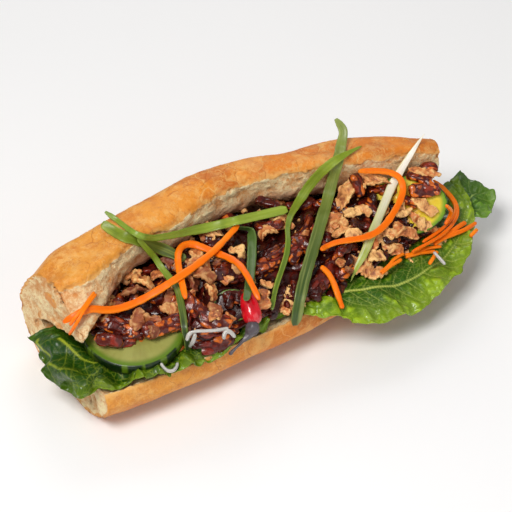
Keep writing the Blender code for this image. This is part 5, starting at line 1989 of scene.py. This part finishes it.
class Shredder:
    """Turns the centre line of a CAD strip into a finished shred."""

    def __init__(self) -> None:
        """Builds the one Geometry Nodes tree that every shred is made with."""
        self.graph = self.tree()

    def tree(self) -> Graph:
        """Wraps a tube round a path that carries its side direction and sizes.

        Returns:
            The tree.
        """
        graph = Graph("shred")
        rings, sides = graph.size("Rings", "Int"), graph.size("Sides", "Int")
        square, gutter = graph.size("Square"), graph.size("Gutter")
        ribs, rib_height = graph.size("Ribs"), graph.size("Rib Height")
        point, wobble = graph.size("Point"), graph.size("Wobble")
        path = graph.node("GeometryNodeMeshToCurve", {}, {0: graph.start.outputs["Geometry"]}).outputs[0]
        path = graph.node("GeometryNodeCurveSplineType", {"spline_type": "CATMULL_ROM"}, {0: path}).outputs[0]
        tube = graph.node("GeometryNodeMeshCylinder", {"fill_type": "TRIANGLE_FAN"}, {
            "Vertices": sides, "Side Segments": rings, "Fill Segments": 3, "Radius": 1.0, "Depth": 1.0,
        })
        x, y, z = graph.split(graph.node("GeometryNodeInputPosition").outputs[0])
        share = z + 0.5
        side = self.sample(graph, path, share, "side")
        sizes = self.sample(graph, path, share, "sizes")
        half, thick, _ = graph.split(sizes.outputs["Value"])
        tangent = side.outputs["Tangent"]
        up = graph.vector("NORMALIZE", graph.vector("CROSS_PRODUCT", tangent, side.outputs["Value"]))
        true_side = graph.vector("CROSS_PRODUCT", up, tangent)
        reach = graph.math("MINIMUM", share, 1 - share) * 2
        blunt = graph.math("MINIMUM", reach * 15 + 0.25, 1.0) ** 0.5
        sharp = graph.math("MINIMUM", reach * 3.2 + 0.002, 1.0) ** 0.75
        taper = blunt * (1 - point) + point * sharp
        squarer = [graph.math("SIGN", c) * graph.math("ABSOLUTE", c) ** square for c in (x, y)]
        length = graph.node("GeometryNodeCurveLength", {}, {0: path}).outputs[0]
        spot = side.outputs["Position"]
        wave = graph.node("ShaderNodeTexNoise", {}, {"Vector": spot, "Scale": 260.0, "Detail": 2.0})
        shake = (Value(graph, wave.outputs[0]) - 0.5) * wobble
        across = squarer[0] * half * taper * (1 + shake * 1.4)
        bulge = graph.math("COSINE", squarer[0] * ribs) * rib_height * taper
        lift = squarer[1] * thick * taper * (1 + shake)
        lift = lift + squarer[0] * squarer[0] * gutter * half * taper + bulge
        shift = graph.vector("ADD", self.scaled(graph, true_side, across), self.scaled(graph, up, lift))
        place = graph.vector("ADD", spot, shift)
        grain = graph.join(across, squarer[1] * thick, share * Value(graph, length))
        marks = self.keep(graph, tube.outputs["Mesh"], "grain", "FLOAT_VECTOR", grain)
        marks = self.keep(graph, marks, "edge", "FLOAT", graph.math("ABSOLUTE", x) ** 6)
        marks = self.keep(graph, marks, "share", "FLOAT", share)
        moved = graph.node("GeometryNodeSetPosition", {}, {"Geometry": marks, "Position": place})
        graph.close(moved.outputs[0])
        return graph

    @staticmethod
    def keep(graph: Graph, shape: object, name: str, kind: str, value: object) -> bpy.types.NodeSocket:
        """Stores a named mark on the vertices.

        Args:
            graph: The tree.
            shape: The mesh to mark.
            name: The mark's name.
            kind: The kind of value.
            value: The value itself.

        Returns:
            The marked mesh.
        """
        made = graph.node("GeometryNodeStoreNamedAttribute", {"data_type": kind, "domain": "POINT"},
                          {"Geometry": shape, "Name": name, "Value": value})
        return made.outputs[0]

    @staticmethod
    def sample(graph: Graph, path: object, share: Value, name: str) -> bpy.types.Node:
        """Reads the path's place and a named vector at a share of its length.

        Args:
            graph: The tree.
            path: The path's curve.
            share: The share of its length.
            name: The vector's name.

        Returns:
            The node that samples the curve.
        """
        named = graph.node("GeometryNodeInputNamedAttribute", {"data_type": "FLOAT_VECTOR"}, {"Name": name})
        return graph.node("GeometryNodeSampleCurve", {"data_type": "FLOAT_VECTOR", "mode": "FACTOR"},
                          {"Curves": path, "Value": named.outputs[0], "Factor": share})

    @staticmethod
    def scaled(graph: Graph, vector: object, amount: Value) -> bpy.types.NodeSocket:
        """A vector times a number."""
        made = graph.node("ShaderNodeVectorMath", {"operation": "SCALE"}, {0: vector, "Scale": amount})
        return made.outputs[0]

    @staticmethod
    def rings_of(node: str) -> list:
        """The corner rows of a CAD strip, walked from one end to the other.

        Args:
            node: The CAD strip.

        Returns:
            For each row, its centre and its pairs of corners, the closest pair first.
        """
        shape = merged_copy(node)
        caps = [v for v in shape.verts if len(v.link_edges) < 6]
        row = [caps[0]] + [v for v in caps[1:] if any(e.other_vert(v) is caps[0] for e in v.link_edges)]
        known = set(row)
        for v in list(row):
            for w in caps:
                if w not in known and any(e.other_vert(w) in row for e in w.link_edges):
                    known.add(w)
                    row.append(w)
        seen, rows = set(known), [row]
        while True:
            ahead = []
            for v in rows[-1]:
                for edge in v.link_edges:
                    other = edge.other_vert(v)
                    if other not in seen:
                        seen.add(other)
                        ahead.append(other)
            if not ahead:
                break
            rows.append(ahead)
        found = []
        for row in rows:
            pairs = [(v.co.copy(), w.co.copy()) for i, v in enumerate(row) for w in row[i + 1:]]
            pairs.sort(key=lambda pair: (pair[0] - pair[1]).length)
            found.append((sum((v.co for v in row), Vector()) / len(row), pairs))
        shape.free()
        return found

    def shred(self, node: str, cut: Cut, finish: Finish, slot: str, strands: int) -> list:
        """Makes a shred, or a few finer strands side by side, in the place of a CAD strip.

        Args:
            node: The CAD strip.
            cut: How it is cut.
            finish: What it is dressed with.
            slot: Not used.
            strands: How many strands it is split into.

        Returns:
            The finished pieces.
        """
        spots, sides, sizes = self.stations(node)
        for _ in range(cut.relax):
            eased = [(a + 2 * b + c) / 4 for a, b, c in zip(spots, spots[1:], spots[2:])]
            spots = [spots[0], *eased, spots[-1]]
        length = sum((a - b).length for a, b in zip(spots, spots[1:]))
        made = []
        for k in range(strands):
            row, halves = self.strand(k, strands, spots, sides, sizes)
            path = self.path(row, sides, halves, cut.grow)
            name = f"{node}_shred" if strands == 1 else f"{node}_shred_{k + 1}"
            piece = self.graph.run(
                path, name, Rings=int(max(16, length * 1.6)), Sides=20 if strands == 1 else 14,
                Square=cut.square, Gutter=cut.gutter, Ribs=cut.ribs, Rib_Height=cut.rib_height * MM,
                Point=cut.point, Wobble=cut.wobble, Finish=finish.material(),
            )
            seal(piece, 1e-7)
            made.append(seat(piece, finish, [node]))
        return made

    @staticmethod
    def strand(k: int, strands: int, spots: list, sides: list, sizes: list) -> tuple:
        """The path of one of several strands that fan out and sway within a strip.

        Args:
            k: Which strand.
            strands: How many there are; a lone one keeps the strip's own path.
            spots: The strip's centres.
            sides: Its side directions.
            sizes: Its half sizes.

        Returns:
            The strand's centres and its half sizes.
        """
        if strands == 1:
            return spots, sizes
        shift, last, row = 2 * (k + 0.5) / strands - 1, len(spots) - 1, []
        for i, (spot, side, size) in enumerate(zip(spots, sides, sizes)):
            fan = shift * (1 + 0.35 * i / last)
            sway = 0.3 * math.sin(2.2 * math.pi * i / last + 2.1 * k)
            row.append(spot + side * ((fan + sway) * size[0]))
        cut_back = min(k % 3, max(0, last - 4))
        slim = [Vector((size[0] * (1.25 / strands), size[1], 0)) for size in sizes]
        return row[: len(row) - cut_back], slim

    def stations(self, node: str) -> tuple:
        """Centres, side directions and half sizes of a CAD strip, from its higher end down.

        Args:
            node: The CAD strip.

        Returns:
            Three lists, one item for each row of the strip's corners.
        """
        spots, sides, sizes = [], [], []
        for centre, pairs in self.rings_of(node):
            thin, wide = pairs[0], pairs[2]
            across = wide[1] - wide[0]
            if sides and across.dot(sides[-1]) < 0:
                across = -across
            half = 0.5 * across.length
            if spots and abs(across.normalized().dot(sides[-1])) < 0.5:
                flipped = thin[1] - thin[0]
                across = flipped if flipped.dot(sides[-1]) > 0 else -flipped
            spots.append(centre)
            sides.append(across.normalized())
            sizes.append(Vector((half, 0.5 * (thin[1] - thin[0]).length, 0)))
        if spots[0].z < spots[-1].z:
            spots, sides, sizes = spots[::-1], sides[::-1], sizes[::-1]
        return spots, sides, sizes

    @staticmethod
    def path(spots: list, sides: list, sizes: list, grow: float) -> bpy.types.Object:
        """A chain of edges that carries the side direction and half sizes at each point.

        Args:
            spots: Its points in millimetres.
            sides: The side direction at each.
            sizes: The half sizes at each.
            grow: How much fuller than the CAD strip it is.

        Returns:
            The object that carries the chain.
        """
        data = bpy.data.meshes.new(".path")
        data.from_pydata([tuple(p * MM) for p in spots], [(i, i + 1) for i in range(len(spots) - 1)], [])
        for name, rows in (("side", sides), ("sizes", [s * (MM * grow) for s in sizes])):
            store = data.attributes.new(name, "FLOAT_VECTOR", "POINT")
            vectors = [list(row) for row in rows[: len(spots)]]
            store.data.foreach_set("vector", np.array(vectors, dtype=np.float32).ravel())
        made = bpy.data.objects.new(".path", data)
        bpy.context.scene.collection.objects.link(made)
        return made


@dataclass
class Toppings:
    """Every shred that lies over the filling."""

    carrot: ShredFinish = ShredFinish("carrot", tint(252, 116, 0), tint(255, 152, 20), tint(224, 84, 0),
                                      tint(246, 108, 0), tint(255, 146, 16), 0.32, 0.45, 0.12, 0.2)
    cuts: dict = field(default_factory=lambda: {
        "carrot": Cut(square=0.62, gutter=0.05, ribs=3.0, rib_height=0.05, point=0.0, wobble=0.35, relax=1),
        "scallion": Cut(square=0.8, gutter=0.16, ribs=9.0, rib_height=0.09, point=0.04, wobble=0.2,
                        grow=1.02),
        "leek": Cut(square=0.85, gutter=-0.12, ribs=8.0, rib_height=0.08, point=0.5, wobble=0.15),
        "noodle": Cut(square=1.0, gutter=0.0, ribs=0.0, rib_height=0.0, point=0.0, wobble=0.3, relax=2),
    })
    strands: dict = field(default_factory=lambda: {
        "carrot_bar": 2, "carrot_rail": 2, "carrot_base": 2, "carrot_curl": 2, "carrot_fork": 2,
    })
    greens: dict = field(default_factory=lambda: {
        "scallion_split": ((120, 138, 26), (172, 180, 72), (70, 94, 14), (70, 86, 28), (146, 156, 50)),
        "scallion_thin": ((134, 158, 40), (172, 190, 80), (70, 100, 20), (40, 56, 26), (124, 144, 48)),
        "scallion_long": ((124, 150, 36), (170, 188, 80), (72, 104, 22), (140, 160, 48), (108, 132, 40)),
        "scallion_bent": ((76, 104, 42), (118, 144, 72), (46, 74, 30), (62, 90, 36), (98, 124, 54)),
        "scallion_arch": ((130, 150, 30), (172, 186, 78), (76, 102, 14), (84, 110, 18), (142, 160, 46)),
        "scallion_wide": ((132, 146, 62), (168, 176, 98), (74, 94, 34), (52, 76, 24), (122, 136, 52)),
    })

    def finish_of(self, node: str) -> ShredFinish:
        """The finish for a strip, by its node's name.

        Args:
            node: The CAD strip.

        Returns:
            The finish.
        """
        if node.startswith("carrot"):
            return self.carrot
        if node.startswith("noodle"):
            return ShredFinish("noodle", tint(176, 172, 166), tint(214, 210, 204), tint(132, 128, 122),
                               tint(184, 180, 174), tint(206, 202, 196), 0.18, 0.35, 0.6)
        if node == "leek":
            return ShredFinish("leek", tint(255, 248, 234), tint(255, 254, 248), tint(222, 206, 170),
                               tint(160, 176, 60), tint(200, 206, 78), 0.35, 0.5)
        return ShredFinish(node, *(tint(*shade) for shade in self.greens[node]))

    def build(self) -> list:
        """Makes every shred.

        Returns:
            The finished pieces.
        """
        shredder, made = Shredder(), []
        for node in sorted(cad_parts):
            kind = node.split("_")[0]
            if kind in self.cuts:
                count = self.strands.get(node, 1)
                made += shredder.shred(node, self.cuts[kind], self.finish_of(node), kind, count)
        return made


# ---------------------------------------------------------------- the chilli
@dataclass
class Chilli:
    """A glossy red chilli tip with its dark cap and thin dried stalk."""

    pod: tuple = ((-25, -34, 46), (-27, -38, 45), (-28.6, -43, 42), (-29.4, -47.2, 37.4))
    pod_radii: tuple = (2.8, 3.9, 4.6, 4.6)
    stalk: tuple = (
        (-31.2, -47.2, 41), (-32, -48.6, 38), (-34, -48.6, 35), (-38, -49.4, 33.4), (-45.6, -49, 28.4),
    )
    stalk_radii: tuple = (2.9, 3.2, 1.5, 0.8, 0.7)

    def body(
        self, name: str, points: tuple, radii: tuple, rings: int, ridge: float, seed: int
    ) -> bpy.types.Object:
        """A round-sectioned body along points with rounded ends.

        Args:
            name: The piece's name.
            points: Its spine.
            radii: Its radius from the first point to the last.
            rings: How many sections.
            ridge: How strongly it is ribbed and dented.
            seed: Picks the dents.

        Returns:
            The undressed piece.
        """
        grain, sides = Grain(seed), 40
        spine = smooth_line(list(points), rings)
        spent = arc_length(spine)
        marks = list(range(len(radii)))
        rows = []
        for i in range(rings):
            share = i / (rings - 1)
            along = Vector(spine[min(i + 1, rings - 1)] - spine[max(i - 1, 0)]).normalized()
            side = along.cross(Vector((0, 0, 1))).normalized()
            up = side.cross(along)
            radius = hermite(radii, marks, marks[-1] * share)
            to_end = min(spent[i], spent[-1] - spent[i]) / radius
            radius *= math.sqrt(1 - (1 - min(to_end + 0.004, 1.0)) ** 2)
            for k in range(sides):
                a = math.tau * k / sides
                r = radius * (1 + ridge * 0.06 * math.cos(5 * a + 1.2 * share))
                rows.append(spine[i] + np.array(side * math.cos(a) + up * math.sin(a)) * r)
        points_out = np.array(rows)
        faces = [
            (k + j, k + (j + 1) % sides, k + sides + (j + 1) % sides, k + sides + j)
            for k in range(0, (rings - 1) * sides, sides) for j in range(sides)
        ]
        faces += [tuple(range(sides))[::-1], tuple(range((rings - 1) * sides, rings * sides))]
        made = shape_mesh(name, points_out, faces)
        seal(made, 1e-7)
        base, normals = vertex_array(made.data), normal_array(made.data)
        dent = 0.22 * ridge * grain.rough(base, 3.2, 3)
        set_points(made.data, base + normals * dent[:, None])
        return made

    def build(self) -> list:
        """Makes the pod and its stalk.

        Returns:
            The finished pieces.
        """
        pod = self.body("chilli_pod", self.pod, self.pod_radii, 44, 0.5, 3)
        stalk = self.body("chilli_stem", self.stalk, self.stalk_radii, 70, 1.2, 9)
        dark = ShredFinish("stalk", tint(72, 66, 70), tint(124, 112, 120), tint(34, 30, 34), tint(96, 74, 88),
                           tint(84, 70, 76), 0.3, 0.6, 0.3)
        return [seat(pod, ChilliFinish(), ["chilli"]), seat(stalk, dark, ["chilli_stalk"])]


# ---------------------------------------------------------------- studio
@dataclass(frozen=True)
class Lamp:
    """A square soft box: its place and width in metres, its power in watts and its colour."""

    name: str
    place: tuple
    size: float
    power: float
    colour: tuple
    aim: tuple = (0, 0, 0.03)

    def build(self) -> None:
        """Hangs the lamp and turns it to the object."""
        data = bpy.data.lights.new(self.name, "AREA")
        data.size, data.energy, data.color = self.size, self.power, self.colour
        made = bpy.data.objects.new(self.name, data)
        made.location = self.place
        made.rotation_euler = (Vector(self.aim) - Vector(self.place)).to_track_quat("-Z", "Y").to_euler()
        bpy.context.scene.collection.objects.link(made)


@dataclass
class Studio:
    """A plain pale floor, soft light and the camera."""

    azimuth: float = -35.0
    elevation: float = 42.0
    distance: float = 0.9
    target: tuple = (0.00154241, -0.00358529, 0.03272079)
    lens: float = 128.46
    floor_half: float = 4.0
    floor_gap: float = 0.0002
    glow: float = 0.26
    lamps: tuple = (
        Lamp("key", (-0.55, -0.25, 0.95), 0.42, 9.3, (1.0, 0.985, 0.96)),
        Lamp("fill", (0.2, -1.1, 0.55), 0.9, 2.6, (1.0, 1.0, 1.0)),
        Lamp("back", (0.5, 0.75, 0.8), 0.6, 3.2, (1.0, 0.99, 0.97)),
    )

    def build(self) -> None:
        """Sets up everything round the object."""
        self.floor()
        self.camera()
        for lamp in self.lamps:
            lamp.build()
        world = bpy.data.worlds.new("studio")
        bpy.context.scene.world = world
        world.use_nodes = True
        background = world.node_tree.nodes["Background"]
        background.inputs["Color"].default_value = (1, 1, 1, 1)
        background.inputs["Strength"].default_value = self.glow
        bpy.context.scene.view_settings.view_transform = "Standard"

    def floor(self) -> None:
        """A wide floor just under the object."""
        h, z = self.floor_half, -self.floor_gap
        data = bpy.data.meshes.new("studio_floor")
        data.from_pydata([(-h, -h, z), (h, -h, z), (h, h, z), (-h, h, z)], [], [(0, 1, 2, 3)])
        made = bpy.data.objects.new("studio_floor", data)
        bpy.context.scene.collection.objects.link(made)
        data.materials.append(FloorFinish().material())

    def camera(self) -> None:
        """A long lens from the front left, above."""
        a, e = math.radians(self.azimuth), math.radians(self.elevation)
        back = Vector((math.sin(a) * math.cos(e), -math.cos(a) * math.cos(e), math.sin(e)))
        data = bpy.data.cameras.new("camera")
        data.lens, data.sensor_width = self.lens, 36.0
        made = bpy.data.objects.new("camera", data)
        made.location = Vector(self.target) + back * self.distance
        made.rotation_euler = (-back).to_track_quat("-Z", "Y").to_euler()
        bpy.context.scene.collection.objects.link(made)
        bpy.context.scene.camera = made


# ---------------------------------------------------------------- the sandwich
def lettuce() -> list:
    """The three leaves under the filling.

    Returns:
        The left leaf, the tip and the right leaf.
    """
    shaded = LettuceFinish("lettuce_shaded", tint(16, 46, 0), tint(92, 134, 6), tint(176, 188, 50),
                           tint(136, 164, 14), net=0.3, wet=0.4)
    cool = LettuceFinish("lettuce_tip", tint(40, 92, 10), tint(124, 168, 44), tint(186, 208, 108),
                         tint(132, 172, 56))
    return [
        Leaf(
            "leaf_left", "lettuce_left",
            inner=[(-94, 8, 28.5), (-93, -6, 27.5), (-88, -16, 27), (-70, -22, 26.8), (-45, -24, 26.5),
                   (-12, -24, 26)],
            middle=[(-108, 12, 31), (-109, -6, 30.5), (-107.5, -26, 29.8), (-84, -37, 28.8), (-50, -39, 28.4),
                    (-8, -39, 27.8)],
            outer=[(-113.5, 14, 24), (-119.6, -6, 21), (-115.8, -27, 22), (-107, -36, 28.5), (-92, -40, 29),
                   (-66, -45.5, 28), (-5, -45, 28.3)],
            midribs=[
                ([(-107.7, -0.4), (-105.4, -8.5), (-101.8, -20.6), (-88.5, -29.9), (-67.3, -38),
                  (-30, -41)], 0.8),
                ([(-112, 9), (-115, -3.4), (-113.3, -13), (-110.2, -21), (-103.3, -29)], 0.6),
            ],
            columns=300, rows=56, ripple=0.8, waves=7, seed=3, frill=2.0, crumple=4.2, finish=shaded,
        ),
        Leaf(
            "leaf_tip", "lettuce_tip",
            inner=[(92, -24, 24.6), (93, -18, 24), (94, -13, 24)],
            middle=[(107, -31, 25.2), (110, -22, 25), (107, -13, 25)],
            outer=[(121, -39, 22), (138, -27, 23), (130, -6, 27)],
            midribs=[([(95, -21), (107.9, -26), (118, -25), (128, -22.4), (135, -22)], 0.7)],
            columns=110, rows=90, ripple=0.7, waves=2, seed=8, frill=1.6, crumple=1.0, finish=cool,
        ),
        Leaf(
            "leaf_right", "lettuce_right",
            inner=[(-6, -22, 29), (20, -24, 28), (45, -22, 27.5), (68, -20, 27.2), (86, -16, 27), (92, -9, 27)],
            middle=[(-5, -44, 30.5), (18, -47, 28.5), (46, -47, 28), (74, -43, 28), (103, -33, 28.5),
                    (107, -12, 29.5)],
            outer=[(-2, -49, 30), (18, -60, 22), (46, -71, 19), (84, -62, 20), (112, -41, 25), (124, -12, 31)],
            midribs=[([(14, -42), (25.6, -46), (39.6, -51.4), (54, -54.5), (68.4, -53.9), (82, -51), (97, -45),
                       (112, -32)], 1.0)],
            columns=300, rows=84, ripple=1.2, waves=5, seed=5,
        ),
    ]


def cucumber() -> list:
    """The three slices.

    Returns:
        The left, middle and right slices.
    """
    # A brighter and yellower copy of the cucumber finish for the right slice: the brightness is painted light.
    warm = CucumberFinish("cucumber_lit_warm", tint(230, 208, 50), tint(228, 184, 22), tint(116, 156, 20),
                          tint(14, 58, 6), tint(84, 128, 20))
    return [
        Slice("slice_left", "cucumber_left", centre=(-77, -16.5, 36.5), facing=(-35, 82), radius=24.3,
              squash=1.0, thick=6.0, seed=1),
        Slice("slice_middle", "cucumber_middle", centre=(-31, -31, 38), facing=(-35, 50), radius=9.0,
              squash=0.9, thick=4.0, seed=4),
        Slice("slice_right", "cucumber_right", centre=(77, -25, 43), facing=(-35, 47), radius=21.5,
              squash=0.7, thick=4.5, seed=2, finish=warm),
    ]


def main() -> None:
    """Builds the sandwich from the bread up, then the studio round it."""
    logging.basicConfig(level=logging.INFO, format="%(message)s")
    Studio().build()
    made = [Loaf().build()]
    made += [leaf.build() for leaf in lettuce()]
    made += [cut.build() for cut in cucumber()]
    made += Heap().build()
    made += Toppings().build()
    made += Chilli().build()
    LOG.info("%d pieces in all", len(made))


if __name__ == "__main__":
    main()
